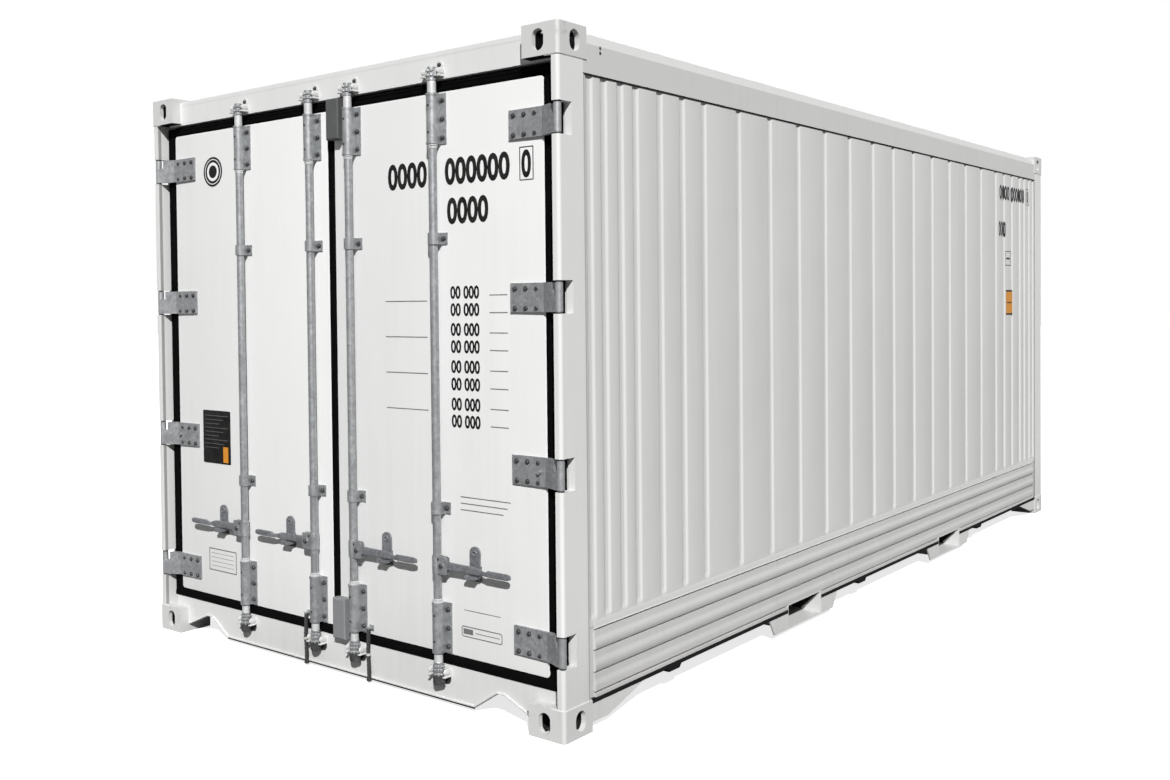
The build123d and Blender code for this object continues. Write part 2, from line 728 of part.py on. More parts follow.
def door_hinges(side):
    """The four hinge leaves of a door, cranked out over the seal to their pins."""
    with BuildPart() as leaves:
        for level in HINGE_LEVELS:
            with BuildSketch(Plane.XY.offset(level - HINGE_HIGH / 2)):
                with BuildLine():
                    Polyline(
                        (side * HINGE_INNER_X, DOOR_FACE),
                        (side * (POST_INNER_X - 2 * HINGE_PLATE), DOOR_FACE),
                        (side * (PIN_X - HINGE_KNUCKLE / 2), PIN_Y + HINGE_PLATE),
                        (side * PIN_X, PIN_Y),
                        (side * (PIN_X - HINGE_KNUCKLE / 4), PIN_Y - HINGE_KNUCKLE * 0.96),
                        (side * DOOR_OUTER_X, DOOR_FACE - 1.3 * HINGE_PLATE),
                        (side * HINGE_INNER_X, DOOR_FACE - HINGE_PLATE),
                        close=True,
                    )
                make_face()
            extrude(amount=HINGE_HIGH)
            top = level + HINGE_HIGH / 2
            step_x = PIN_X - HINGE_KNUCKLE - HINGE_STEP_WIDE
            span(
                (side * step_x, DOOR_FACE, top - HINGE_STEP_HIGH),
                (side * (PIN_X + HINGE_KNUCKLE), -HALF_LENGTH, top),
                mode=Mode.SUBTRACT,
            )
            with Locations((side * PIN_X, PIN_Y, level)):
                Cylinder(HINGE_KNUCKLE, HINGE_HIGH)
                Cylinder(PIN_RADIUS + PIN_RUN_GAP, HINGE_HIGH, mode=Mode.SUBTRACT)
        with BuildSketch(Plane.XZ.offset(-DOOR_FACE)):
            with Locations((side * STUD_X, HINGE_LEVELS[1])):
                Circle(STUD_RADIUS)
        extrude(amount=STUD_LONG)
    return leaves.part


def bar_bearings(side):
    """The bearings of a door's two bars: long ones at head and foot and short guides between."""
    with BuildPart() as bearings:
        spans = [(LOW_BEARING_BOTTOM, BEARING_HIGH), (HIGH_BEARING_BOTTOM, BEARING_HIGH)]
        spans += [(level - RING_HIGH / 2, RING_HIGH) for level in RING_LEVELS]
        for place in BAR_PLACES:
            x = side * place
            for bottom, high in spans:
                with BuildSketch(Plane.XY.offset(bottom)):
                    with Locations((x + (FLANGE_FAR - FLANGE_NEAR) / 2, DOOR_FACE - FLANGE_PLATE / 2)):
                        Rectangle(FLANGE_FAR + FLANGE_NEAR, FLANGE_PLATE)
                    with Locations((x, (DOOR_FACE + BAR_Y) / 2)):
                        Rectangle(2 * BEARING_RADIUS, DOOR_FACE - BAR_Y)
                    with Locations((x, BAR_Y)):
                        Circle(BEARING_RADIUS)
                        Circle(BAR_RADIUS + BEARING_GAP, mode=Mode.SUBTRACT)
                extrude(amount=high)
                if high == BEARING_HIGH:
                    for collar in (bottom, bottom + high - COLLAR_HIGH):
                        with BuildSketch(Plane.XY.offset(collar)):
                            with Locations((x, BAR_Y)):
                                Circle(COLLAR_RADIUS)
                                Circle(BEARING_RADIUS - 1, mode=Mode.SUBTRACT)
                        extrude(amount=COLLAR_HIGH)
    return bearings.part


def locking_bar(side, place):
    """A locking bar with a cam at each end and the forked hub that carries its handle."""
    x = side * place
    pivot_x = x + side * HANDLE_PIVOT
    front_lug = HANDLE_FRONT - LUG_SIDE_GAP
    back_lug = HANDLE_FRONT + HANDLE_THICK + LUG_SIDE_GAP
    with BuildPart() as bar:
        with BuildSketch(Plane.XY.offset(BAR_BOTTOM)):
            with Locations((x, BAR_Y)):
                Circle(BAR_RADIUS)
        extrude(amount=BAR_TOP - BAR_BOTTOM)
        for bottom in (LOW_CAM_BOTTOM, HIGH_CAM_BOTTOM):
            with BuildSketch(Plane.XY.offset(bottom)):
                with BuildLine():
                    Polyline(
                        (x, BAR_Y + BAR_RADIUS),
                        (x + side * CAM_REACH, BAR_Y + CAM_NOSE),
                        (x + side * CAM_REACH, BAR_Y - CAM_NOSE),
                        (x, BAR_Y - BAR_RADIUS),
                        close=True,
                    )
                make_face()
                with Locations((x + side * CAM_REACH, BAR_Y)):
                    Circle(CAM_NOSE)
            extrude(amount=CAM_HIGH)
        with BuildSketch(Plane.XY.offset(HANDLE_LEVEL - HUB_HIGH / 2)):
            with Locations((x, BAR_Y)):
                Circle(HUB_RADIUS)
        extrude(amount=HUB_HIGH)
        with BuildSketch(Plane.XY.offset(HANDLE_LEVEL - HUB_HIGH / 2)):
            with Locations((pivot_x, (front_lug + back_lug) / 2)):
                Rectangle(2 * HANDLE_PIVOT, HANDLE_THICK + 2 * LUG_SIDE_GAP)
        extrude(amount=HUB_HIGH, mode=Mode.SUBTRACT)
        with BuildSketch(Plane.XY.offset(HANDLE_LEVEL - HUB_HIGH / 2)):
            with Locations((x, BAR_Y)):
                Circle(BAR_RADIUS)
        extrude(amount=HUB_HIGH)
        for y_from, way in ((front_lug, 1), (back_lug, -1)):
            with BuildSketch(Plane.XZ.offset(-y_from)):
                with Locations((x + side * LUG_REACH / 2, HANDLE_LEVEL)):
                    RectangleRounded(LUG_REACH, HUB_HIGH, LUG_ROUND)
            extrude(amount=way * LUG_PLATE)
        with BuildSketch(Plane.XZ.offset(-front_lug + LUG_PLATE + HANDLE_PIN_HEAD_HIGH)):
            with Locations((pivot_x, HANDLE_LEVEL)):
                Circle(HANDLE_PIN_HEAD)
        extrude(amount=-HANDLE_PIN_HEAD_HIGH)
        with BuildSketch(Plane.XZ.offset(-front_lug)):
            with Locations((pivot_x, HANDLE_LEVEL)):
                Circle(HANDLE_PIN)
        extrude(amount=front_lug - back_lug)
    return bar.part


def bar_handle(side, place):
    """A flat handle that lifts about the pin of its bar's hub."""
    pivot_x = side * (place + HANDLE_PIVOT)
    shoulder_x = pivot_x + side * HANDLE_SHOULDER
    tip_x = side * (place + HANDLE_TIP)
    with BuildPart() as handle:
        with BuildSketch(Plane.XZ.offset(-HANDLE_FRONT)):
            with BuildLine():
                Polyline(
                    (pivot_x, HANDLE_LEVEL + HANDLE_EYE),
                    (shoulder_x, HANDLE_LEVEL + HANDLE_HIGH / 2),
                    (tip_x, HANDLE_LEVEL + HANDLE_TIP_HIGH / 2),
                    (tip_x, HANDLE_LEVEL - HANDLE_TIP_HIGH / 2),
                    (shoulder_x, HANDLE_LEVEL - HANDLE_HIGH / 2),
                    (pivot_x, HANDLE_LEVEL - HANDLE_EYE),
                    close=True,
                )
            make_face()
            with Locations((pivot_x, HANDLE_LEVEL)):
                Circle(HANDLE_EYE)
            with Locations((tip_x, HANDLE_LEVEL)):
                Circle(HANDLE_TIP_HIGH / 2)
            with Locations((pivot_x, HANDLE_LEVEL)):
                Circle(HANDLE_PIN + PIN_RUN_GAP, mode=Mode.SUBTRACT)
        extrude(amount=-HANDLE_THICK)
    return handle.part


def handle_keeps(side):
    """What holds each handle shut: a foot plate, a shelf under the handle and a seal ear behind it."""
    shelf_top = HANDLE_LEVEL - HANDLE_HIGH / 2 - KEEP_GAP
    with BuildPart() as keeps:
        for place in BAR_PLACES:
            x = side * (place + KEEP_X)
            span((x - KEEP_HALF, DOOR_FACE, KEEP_BOTTOM), (x + KEEP_HALF, DOOR_FACE - KEEP_PLATE, shelf_top + HANDLE_HIGH))
            span(
                (x - KEEP_HALF, DOOR_FACE - KEEP_PLATE, shelf_top - KEEP_SHELF_THICK),
                (x + KEEP_HALF, DOOR_FACE - KEEP_PLATE - KEEP_SHELF_DEEP, shelf_top),
            )
            with BuildSketch(Plane.XZ.offset(-DOOR_FACE + KEEP_PLATE)):
                with Locations((x, (shelf_top + KEEP_TOP - KEEP_EAR_HALF) / 2)):
                    Rectangle(2 * KEEP_EAR_HALF, KEEP_TOP - KEEP_EAR_HALF - shelf_top)
                with Locations((x, KEEP_TOP - KEEP_EAR_HALF)):
                    Circle(KEEP_EAR_HALF)
                    Circle(SEAL_HOLE, mode=Mode.SUBTRACT)
            extrude(amount=KEEP_EAR_THICK)
    return keeps.part


def lock_keepers():
    """Two upright jaws on the header and on the sill, one each side of every cam."""
    with BuildPart() as keepers:
        for side in SIDES.values():
            for place in BAR_PLACES:
                for bottom in (LOW_CAM_BOTTOM, HIGH_CAM_BOTTOM):
                    low = bottom - (KEEPER_HIGH - CAM_HIGH) / 2
                    for way in (-1, 1):
                        x = side * place + way * KEEPER_INNER
                        span(
                            (x, -FRAME_FACE, low),
                            (x + way * KEEPER_THICK, -FRAME_FACE - KEEPER_DEEP, low + KEEPER_HIGH),
                        )
    return keepers.part


def middle_blocks():
    """The blocks at head and foot of the right door, with a cap that stands past its own base."""
    far_x = BLOCK_NEAR_X + BLOCK_WIDE
    head_low = HEAD_BLOCK_TOP - BLOCK_HIGH
    foot_high = FOOT_BLOCK_BOTTOM + BLOCK_HIGH
    caps = ((FOOT_BLOCK_BOTTOM, foot_high), (head_low, HEAD_BLOCK_TOP))
    bases = ((DOOR_BOTTOM, foot_high), (head_low, DOOR_TOP))
    with BuildPart() as blocks:
        for (cap_low, cap_high), (base_low, base_high) in zip(caps, bases):
            span((DOOR_INNER_X[1], DOOR_FACE, base_low), (far_x, DOOR_FACE - BLOCK_BASE, base_high))
            span((BLOCK_NEAR_X, DOOR_FACE - BLOCK_BASE, cap_low), (far_x, DOOR_FACE - BLOCK_DEEP, cap_high))
        front = blocks.faces().filter_by(Axis.Y).group_by(Axis.Y)[0]
        fillet(front.edges(), BLOCK_ROUND)
    return blocks.part


def rope_hook(x):
    """A small plate on the foot of a door, with a round-ended tongue that the rope hangs from."""
    with BuildPart() as hook:
        span(
            (x - HOOK_HALF, DOOR_FACE, HOOK_LEVEL - HOOK_HALF),
            (x + HOOK_HALF, DOOR_FACE - HOOK_PLATE, HOOK_LEVEL + HOOK_HALF),
        )
        with BuildSketch(Plane.XY.offset(HOOK_LEVEL)):
            with Locations((x, (DOOR_FACE + ROPE_Y) / 2)):
                Rectangle(2 * HOOK_TONGUE, DOOR_FACE - ROPE_Y)
            with Locations((x, ROPE_Y)):
                Circle(HOOK_TONGUE)
        extrude(amount=HOOK_TONGUE_THICK)
    return hook.part


def tie_rope(x):
    """A short rope that hangs from the underside of its hook."""
    points = [(x + dx, ROPE_Y + dy, HOOK_LEVEL + dz) for dx, dy, dz in ROPE_ROUTE]
    radii = []
    for before, corner, after in zip(points, points[1:], points[2:]):
        run_in = Vector(*corner) - Vector(*before)
        run_out = Vector(*after) - Vector(*corner)
        turn = run_in.get_angle(run_out)
        radii.append(0.45 * min(run_in.length, run_out.length) / math.tan(math.radians(turn) / 2))
    print("rope arcs", [round(radius) for radius in radii])
    with BuildPart() as rope:
        with BuildLine() as path:
            FilletPolyline(*points, radius=radii)
        route = path.wires()[0]
        with BuildSketch(Plane(origin=route @ 0, z_dir=route % 0)):
            Circle(ROPE_RADIUS)
        sweep(path=route)
    section = math.pi * ROPE_RADIUS**2 * route.length
    print("rope volume over section times length", round(rope.part.volume / section, 4))
    return rope.part


for level_name, level in (("lower", -1), ("upper", 1)):
    for end_name, end in ENDS.items():
        for side_name, side in SIDES.items():
            save(corner_fitting(side, end, level), f"{end_name}_{side_name}_{level_name}_fitting")

for side_name, side in SIDES.items():
    save(rear_post(side), f"rear_{side_name}_post")
    save(front_post(side), f"front_{side_name}_post")
    save(top_rail(side), f"{side_name}_top_rail")
    save(kick_rail(side), f"{side_name}_kick_rail")
    save(side_wall(side), f"{side_name}_wall")
    save(door_panel(side), f"{side_name}_door_panel")
    save(door_gasket(side), f"{side_name}_door_gasket")
    save(door_hinges(side), f"{side_name}_door_hinges")
    save(bar_bearings(side), f"{side_name}_bar_bearings")
    save(handle_keeps(side), f"{side_name}_handle_keeps")
    for place_name, place in zip(("inner", "outer"), BAR_PLACES):
        save(locking_bar(side, place), f"{side_name}_{place_name}_bar")
        save(bar_handle(side, place), f"{side_name}_{place_name}_handle")

for end_name, end in ENDS.items():
    save(header(end), f"{end_name}_header")
    save(sill(end), f"{end_name}_sill")
    save(fork_pocket(end), f"{end_name}_fork_pocket")

save(front_wall(), "front_wall")
save(roof(), "roof")
save(floor_panel(), "floor_panel")
save(floor_bars(), "floor_bars")
save(hinge_pins(), "hinge_pins")
save(lock_keepers(), "lock_keepers")
save(middle_blocks(), "middle_blocks")

save(cross_beams(), "cross_beams")
save(haunches(), "haunches")
save(drain_outlets(), "drain_outlets")

for side_name, rope_x in (("left", LEFT_ROPE_X), ("right", RIGHT_ROPE_X)):
    save(rope_hook(rope_x), f"{side_name}_rope_hook")
    save(tie_rope(rope_x), f"{side_name}_tie_rope")
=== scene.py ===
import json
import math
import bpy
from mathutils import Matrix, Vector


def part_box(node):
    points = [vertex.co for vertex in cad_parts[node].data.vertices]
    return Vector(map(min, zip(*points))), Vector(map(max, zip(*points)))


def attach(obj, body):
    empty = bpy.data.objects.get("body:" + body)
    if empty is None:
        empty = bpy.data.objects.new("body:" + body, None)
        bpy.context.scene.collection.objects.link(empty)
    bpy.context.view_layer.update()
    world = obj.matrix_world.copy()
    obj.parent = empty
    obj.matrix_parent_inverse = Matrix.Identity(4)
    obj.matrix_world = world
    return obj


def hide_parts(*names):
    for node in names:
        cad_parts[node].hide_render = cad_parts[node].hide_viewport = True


bl_info = {
    "name": "Insulated shipping container",
    "version": (1, 0, 0),
    "blender": (4, 5, 0),
    "location": "View3D > Sidebar > Container",
    "description": "Dresses a 20 ft insulated container with its hardware, finishes, light and camera",
    "category": "Object",
}

import bpy
import numpy as np
from bpy.props import FloatProperty, FloatVectorProperty, IntProperty, PointerProperty, StringProperty
from mathutils import Matrix

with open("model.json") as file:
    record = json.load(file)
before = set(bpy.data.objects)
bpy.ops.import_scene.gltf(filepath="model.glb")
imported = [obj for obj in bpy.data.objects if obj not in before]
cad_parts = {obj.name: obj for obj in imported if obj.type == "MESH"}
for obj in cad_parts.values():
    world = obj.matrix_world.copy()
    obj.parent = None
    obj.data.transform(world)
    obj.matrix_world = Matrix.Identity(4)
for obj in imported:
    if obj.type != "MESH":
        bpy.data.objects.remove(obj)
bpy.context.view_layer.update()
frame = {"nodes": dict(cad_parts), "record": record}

SIDES = {"left": -1, "right": 1}
PLACES = ("inner", "outer")
ENDS = (-1, 1)
CORNERS = [(s, e) for e in ENDS for s in SIDES.values()]

# Directions that a flat shape faces: its own x, its own y, and outwards
DOOR_WAY = ((1, 0, 0), (0, 0, 1), (0, -1, 0))
FRONT_WAY = ((-1, 0, 0), (0, 0, 1), (0, 1, 0))
RIGHT_WAY = ((0, 1, 0), (0, 0, 1), (1, 0, 0))
LEFT_WAY = ((0, -1, 0), (0, 0, 1), (-1, 0, 0))
UP_WAY = ((1, 0, 0), (0, 1, 0), (0, 0, 1))


def mm(node):
    """A node's lowest and highest corners in millimetres."""
    low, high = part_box(node)
    return np.array(low) * 1000, np.array(high) * 1000


# Places, levels and sizes that several pieces share, all in millimetres
DOOR_FACE = mm("right_door_panel")[0][1]
SKIN_FACE = DOOR_FACE - 1
SKIN_THICK = 5
SKIN_HANG = 12
LEAF_FACE = DOOR_FACE - 10
FLANGE_FACE = DOOR_FACE - 6
FRAME_FACE = mm("rear_header")[0][1]
WALL_FACE = mm("right_wall")[1][0]
BAR_Y = -3000
BAR_PLACES = {"inner": 121, "outer": 593}
BOLT_ASIDE = 33
BAR_LINES = [s * BAR_PLACES[place] for s in SIDES.values() for place in PLACES]
HANDLE_LEVEL = 563
HANDLE_Y = -3006
HANDLE_PIVOT = 36
HANDLE_REACH = 370
KEEP_X = 177
KEEP_BOLT_LEVEL = 522
SHELF_LEVEL = 529
SEAL_HOLE_LEVEL = 625
HINGE_LEVELS = (325.5, 966.5, 1607.5, 2248.5)
PIN_X = 1199
PIN_Y = -3009
LONG_BEARINGS = (212, 2212)
RING_LEVELS = (784, 1843)
KEEPER_LEVELS = (120, 2474)
SADDLE_LEVEL = 110
TAB_ASIDE = 24
TAB_THICK = 5
CAM_THICK = 10
# For each end of a bar: its cam plates, the ring beside them, the neck, and two rings past the bearing; the
# neck's sleeve and the two rings are painted lighter as a painted highlight
BAR_ENDS = (
    ((121, 139, 154), 172, (172, 208), (414, 423)),
    ((2475, 2493), 2463, (2394, 2463), (2208, 2199)),
)
POCKET_PLACES = [end * 1025 for end in ENDS]
POCKET_NOTCH_TOP = 144
POCKET_CLEAR = 186
RAIL_FACE = 1215
RAIL_TOP = 404
GROOVE_DEPTH = 6.5
GROOVE_FLOOR = 9
GROOVE_FLANK = 18
GROOVE_FOOT = 404
GROOVE_RUN_OUT = 30
GROOVE_PLACES = (145, 453, 758, 1060, 1362, 1664, 1972, 2152, 2327, 2507, 2615, 2728, 2824)
OUTLET_PLACES = (-2252, -322, 1594)
ROPE_PLACES = {"left": (-190, -2992, 234), "right": (196, -2992, 234)}
ROPE_ROUTE = ((0, 0, 0), (0, 0, -46), (-3, -2, -98), (2, -1, -154), (-1, 1, -212))
ROPE_LAY = 52
BAND_PLACE = 108
WHITE = (1, 1, 1, 1)


# Shapes, in millimetres


def spokes(turn):
    """Points on the unit circle at the given angles."""
    return np.stack([np.cos(turn), np.sin(turn)], -1)


def circle(radius, count):
    """Points evenly spaced on a circle, anticlockwise from its right."""
    return radius * spokes(np.arange(count) * 2 * math.pi / count)


def lobes(low, high, number, count):
    """A round outline whose radius goes from low to high and back at each lobe, as a flattened cosine."""
    turn = np.arange(count) * 2 * math.pi / count
    wave = np.tanh(2.2 * np.cos(number * turn)) / math.tanh(2.2)
    radius = (high + low) / 2 + (high - low) / 2 * wave
    return radius[:, None] * spokes(turn)


def rounded(wide, high, corner, steps=5):
    """A rectangle round the origin with a quarter circle of the given radius at each corner."""
    turn = np.concatenate([np.linspace(q, q + 1, steps) for q in range(4)]) * math.pi / 2
    middle = np.repeat([[1, 1], [-1, 1], [-1, -1], [1, -1]], steps, axis=0)
    middle = middle * (wide / 2 - corner, high / 2 - corner)
    return middle + corner * spokes(turn)


def inset(outline, depth):
    """Each point moved inwards along the mean of its two edges' normals, so that the edges move by depth."""
    after = np.roll(outline, -1, axis=0) - outline
    normal = np.stack([after[:, 1], -after[:, 0]], -1)
    normal = normal / np.maximum(np.linalg.norm(normal, axis=1, keepdims=True), 1e-9)
    before = np.roll(normal, 1, axis=0)
    share = 1 + np.sum(normal * before, axis=1, keepdims=True)
    return outline - depth * (normal + before) / np.maximum(share, 0.2)


def raised(outline, height):
    """A flat outline's points at a height."""
    return np.insert(np.array(outline, float), 2, height, axis=1)


def loft(rows):
    """A skin over closed outlines of equal point counts, one outline to a row, with both ends closed flat."""
    count, across = rows.shape[:2]
    i, j = np.meshgrid(np.arange(count - 1), np.arange(across), indexing="ij")
    k = (j + 1) % across
    quads = np.stack([i * across + j, i * across + k, (i + 1) * across + k, (i + 1) * across + j], -1)
    low_end = list(range(across))[::-1]
    high_end = list(range((count - 1) * across, count * across))
    return rows.reshape(-1, 3), quads.reshape(-1, 4).tolist() + [low_end, high_end]


def plate(outline, steps):
    """A plate whose edge follows steps of (inset, height): every row is the outline moved in and raised."""
    outline = np.array(outline, float)
    return loft(np.array([raised(inset(outline, depth), height) for depth, height in steps]))


def slab(outline, low, high):
    """A plate with square edges between two heights."""
    return plate(outline, [(0, low), (0, high)])


def barrel(outline, low, high, bevel, rise=None):
    """A plate between two heights whose edges are both bevelled inwards by bevel over a height of rise."""
    rise = rise or bevel
    return plate(outline, [(bevel, low), (0, low + rise), (0, high - rise), (bevel, high)])


def pad(outline, thick, bevel):
    """A plate with a square foot and a rounded upper edge, a quarter circle in four steps."""
    turn = np.linspace(0, math.pi / 2, 4)
    curve = [(bevel * (1 - math.cos(t)), thick - bevel * (1 - math.sin(t))) for t in turn]
    return plate(outline, [(0, 0)] + curve)


def put(shape, place, way=UP_WAY):
    """A shape moved from its own axes to the three given ones at a place."""
    points, faces = shape
    return points @ np.array(way, float) + np.array(place, float), faces


def stacked(shape, place, levels):
    """The shape, facing as the doors do, over a place at each of the levels."""
    return [put(shape, np.add(place, (0, 0, level)), DOOR_WAY) for level in levels]


def drawn(outline, start, stop, y=0):
    """An outline in y and z drawn along x, from the lower to the higher of two places."""
    return put(slab(outline, *sorted((start, stop))), (0, y, 0), RIGHT_WAY)


def mirrored(outline, way):
    """An outline as it is for way 1, and with its x turned round for way -1, anticlockwise in both."""
    outline = np.array(outline, float)
    return outline if way > 0 else outline[::-1] * (-1, 1)


def free_runs(end, half):
    """The three runs along y that the fork pockets leave free, each pocket taking half to both its sides."""
    rear, front = POCKET_PLACES
    return (-end, rear - half), (rear + half, front - half), (front + half, end)


def joined(shapes):
    """Several shapes as one list of points and faces."""
    starts = np.cumsum([0] + [len(points) for points, _ in shapes])
    faces = [[index + start for index in face] for (_, some), start in zip(shapes, starts) for face in some]
    return np.concatenate([points for points, _ in shapes]), faces


def carried(path, outline, closed=False, sizes=None):
    """An outline carried along a path: at each point it stands square to the path, its x axis kept level."""
    path = np.array(path, float)
    ahead = np.roll(path, -1, axis=0) - np.roll(path, 1, axis=0)
    if not closed:
        ahead[0] = path[1] - path[0]
        ahead[-1] = path[-1] - path[-2]
    ahead /= np.linalg.norm(ahead, axis=1, keepdims=True)
    steady = np.where(np.abs(ahead[:, 1:2]) > 0.9, (0.0, 0.0, 1.0), (0.0, 1.0, 0.0))
    across = np.cross(steady, ahead)
    across /= np.linalg.norm(across, axis=1, keepdims=True)
    up = np.cross(ahead, across)
    sizes = np.ones(len(path)) if sizes is None else sizes
    flat = outline[None] * sizes[:, None, None]
    rows = path[:, None] + flat[..., :1] * across[:, None] + flat[..., 1:] * up[:, None]
    if not closed:
        return loft(rows)
    points, faces = loft(np.concatenate([rows, rows[:1]]))
    keep = len(points) - len(outline)
    return points[:keep], [[index % keep for index in face] for face in faces[:-2]]


def weld(start, end, radius):
    """A weld bead along a straight run: a tube whose radius swells and shrinks by 13 % once every 9 mm."""
    pitch = 9.0
    start, end = np.array(start, float), np.array(end, float)
    length = np.linalg.norm(end - start)
    share = np.linspace(0, 1, max(3, int(length / pitch * 4)) + 1)
    sizes = radius * (1 + 0.13 * np.sin(2 * math.pi * share * length / pitch))
    sizes[[0, -1]] *= 0.5
    return carried(start + share[:, None] * (end - start), circle(1, 8), sizes=sizes)


def bolt(across, head=None):
    """A hexagon head on a round washer, both with a small bevel."""
    head = head or across * 0.42
    washer = pad(circle(across * 0.72, 20), 2, 0.6)
    steps = [(0, 2), (0, 2 + head * 0.8), (across * 0.07, 2 + head)]
    hexagon = plate(circle(across / math.sqrt(3), 6), steps)
    return joined([washer, hexagon])


def flattened(curve):
    """The points and faces of a curve as Blender fills it."""
    holder = bpy.data.objects.new("curve", curve)
    bpy.context.scene.collection.objects.link(holder)
    bpy.context.view_layer.update()
    flat = bpy.data.meshes.new_from_object(holder)
    points = np.empty(len(flat.vertices) * 3)
    flat.vertices.foreach_get("co", points)
    faces = [list(face.vertices) for face in flat.polygons]
    bpy.data.objects.remove(holder)
    return points.reshape(-1, 3), faces


def make(name, shapes, kind, body="root", slot=None, smooth=32):
    """Puts shapes into a new object at the origin that rides on a body, with a kind's finish; the slot is
    looked up but given to nothing.
    """
    points, faces = joined(shapes)
    mesh = bpy.data.meshes.new(name)
    mesh.from_pydata((points * 0.001).tolist(), [], faces)
    mesh.validate()
    mesh.shade_smooth()
    mesh.set_sharp_from_angle(angle=math.radians(smooth))
    mesh.materials.append(finish(kind))
    piece = bpy.data.objects.new(name, mesh)
    bpy.context.scene.collection.objects.link(piece)
    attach(piece, body)
    slot = slot or FINISHES[kind][1]
    return piece


# Finishes


def linear(code):
    """An sRGB hex colour as linear red, green, blue and alpha."""
    parts = [int(code[i:i + 2], 16) / 255 for i in (1, 3, 5)]
    return [c / 12.92 if c <= 0.04045 else ((c + 0.055) / 1.055) ** 2.4 for c in parts] + [1.0]


def add_node(tree, kind, inputs=(), **settings):
    """Adds one node with its settings, and sets or links each named input."""
    made = tree.nodes.new(kind)
    for name, value in settings.items():
        setattr(made, name, value)
    for socket, value in dict(inputs).items():
        if isinstance(value, bpy.types.NodeSocket):
            tree.links.new(value, made.inputs[socket])
        else:
            made.inputs[socket].default_value = value
    return made


class Nodes:
    """A node tree being filled: each method adds one node and gives its output."""

    def __init__(self, owner):
        owner.use_nodes = True
        self.tree = owner.node_tree
        self.tree.nodes.clear()

    def add(self, kind, inputs=(), output=0, **settings):
        return add_node(self.tree, kind, inputs, **settings).outputs[output]

    def place(self):
        return self.add("ShaderNodeTexCoord", output="Object")

    def axis(self, vector, number):
        return self.add("ShaderNodeSeparateXYZ", {0: vector}, number)

    def stretched(self, vector, scale):
        return self.add("ShaderNodeMapping", {"Vector": vector, "Scale": scale})

    def noise(self, vector, size_mm, detail=2.0, rough=0.5):
        """Noise whose features are about so many millimetres across."""
        inputs = {"Vector": vector, "Scale": 1000.0 / size_mm, "Detail": detail, "Roughness": rough}
        return self.add("ShaderNodeTexNoise", inputs)

    def math(self, operation, *values, **settings):
        return self.add("ShaderNodeMath", enumerate(values), operation=operation, **settings)

    def spread(self, value, low, high, first, last):
        """The span from low to high mapped to the one from first to last, and clamped there."""
        return self.add("ShaderNodeMapRange", {0: value, 1: low, 2: high, 3: first, 4: last})

    def mix(self, share, *colours):
        """From the first colour to the second; each is a hex code or an output."""
        first, second = (linear(colour) if isinstance(colour, str) else colour for colour in colours)
        return self.add("ShaderNodeMix", {0: share, 6: first, 7: second}, 2, data_type="RGBA")

    def bump(self, height, strength, distance, **under):
        inputs = {"Height": height, "Strength": strength, "Distance": distance, **under}
        return self.add("ShaderNodeBump", inputs)

    def light_path(self, output):
        return self.add("ShaderNodeLightPath", output=output)

    def end(self, kind, surface):
        """Joins a shader to the tree's output."""
        add_node(self.tree, kind, {"Surface": surface})


def enamel(nodes, colour, rough, streak, wave, grime):
    """White two-pack enamel, sprayed: a thin gloss over a slowly uneven sheet, with faint rain streaks."""
    where = nodes.place()
    # Streaks are about 40 mm wide and 900 mm long down the wall
    streaks = nodes.noise(nodes.stretched(where, (1, 1, 0.045)), 42, 4.0, 0.6)
    patches = nodes.noise(where, 520, 5.0)
    amount = nodes.spread(nodes.math("MULTIPLY", streaks, patches), 0.22, 0.42, 0.0, streak)
    foot = nodes.spread(nodes.axis(where, 2), 0.42, 0.0, 0.0, grime)
    dirt = nodes.math("ADD", amount, nodes.math("MULTIPLY", foot, patches))
    # The sheet's slow waves are about 260 mm long, and the spray's orange peel, really 2 mm, is drawn at 9 mm
    peel = nodes.bump(nodes.noise(where, 9, 1.0), 0.25, 0.00008)
    return {
        "Base Color": nodes.mix(dirt, colour, "#6F6B63"),
        "Roughness": nodes.spread(patches, 0.3, 0.7, rough - 0.05, rough + 0.08),
        "Normal": nodes.bump(nodes.noise(where, 260, 1.0), 0.6, wave * 4, Normal=peel),
        "IOR": 1.5,
        "Specular IOR Level": 0.3}


def zinc(nodes, colour, dark, rough, metallic, spangle):
    """Hot-dipped zinc, weathered: crystals of slightly different greys under a dull, blotchy bloom."""
    where = nodes.place()
    # Crystals are 10 to 15 mm across on thick steel, and smaller on small parts
    crystals = nodes.add("ShaderNodeTexVoronoi", {"Vector": where, "Scale": 1000.0 / spangle}, "Color")
    bloom = nodes.noise(where, 60, 6.0, 0.65)
    mixed = nodes.math("MULTIPLY", nodes.add("ShaderNodeSeparateColor", {0: crystals}), bloom)
    return {
        "Base Color": nodes.mix(nodes.spread(mixed, 0.0, 0.6, 0.2, 0.9), dark, colour),
        "Roughness": nodes.spread(bloom, 0.3, 0.7, rough - 0.1, rough + 0.12),
        "Normal": nodes.bump(nodes.noise(where, 5, 3.0), 0.35, 0.0003),
        "Metallic": metallic}


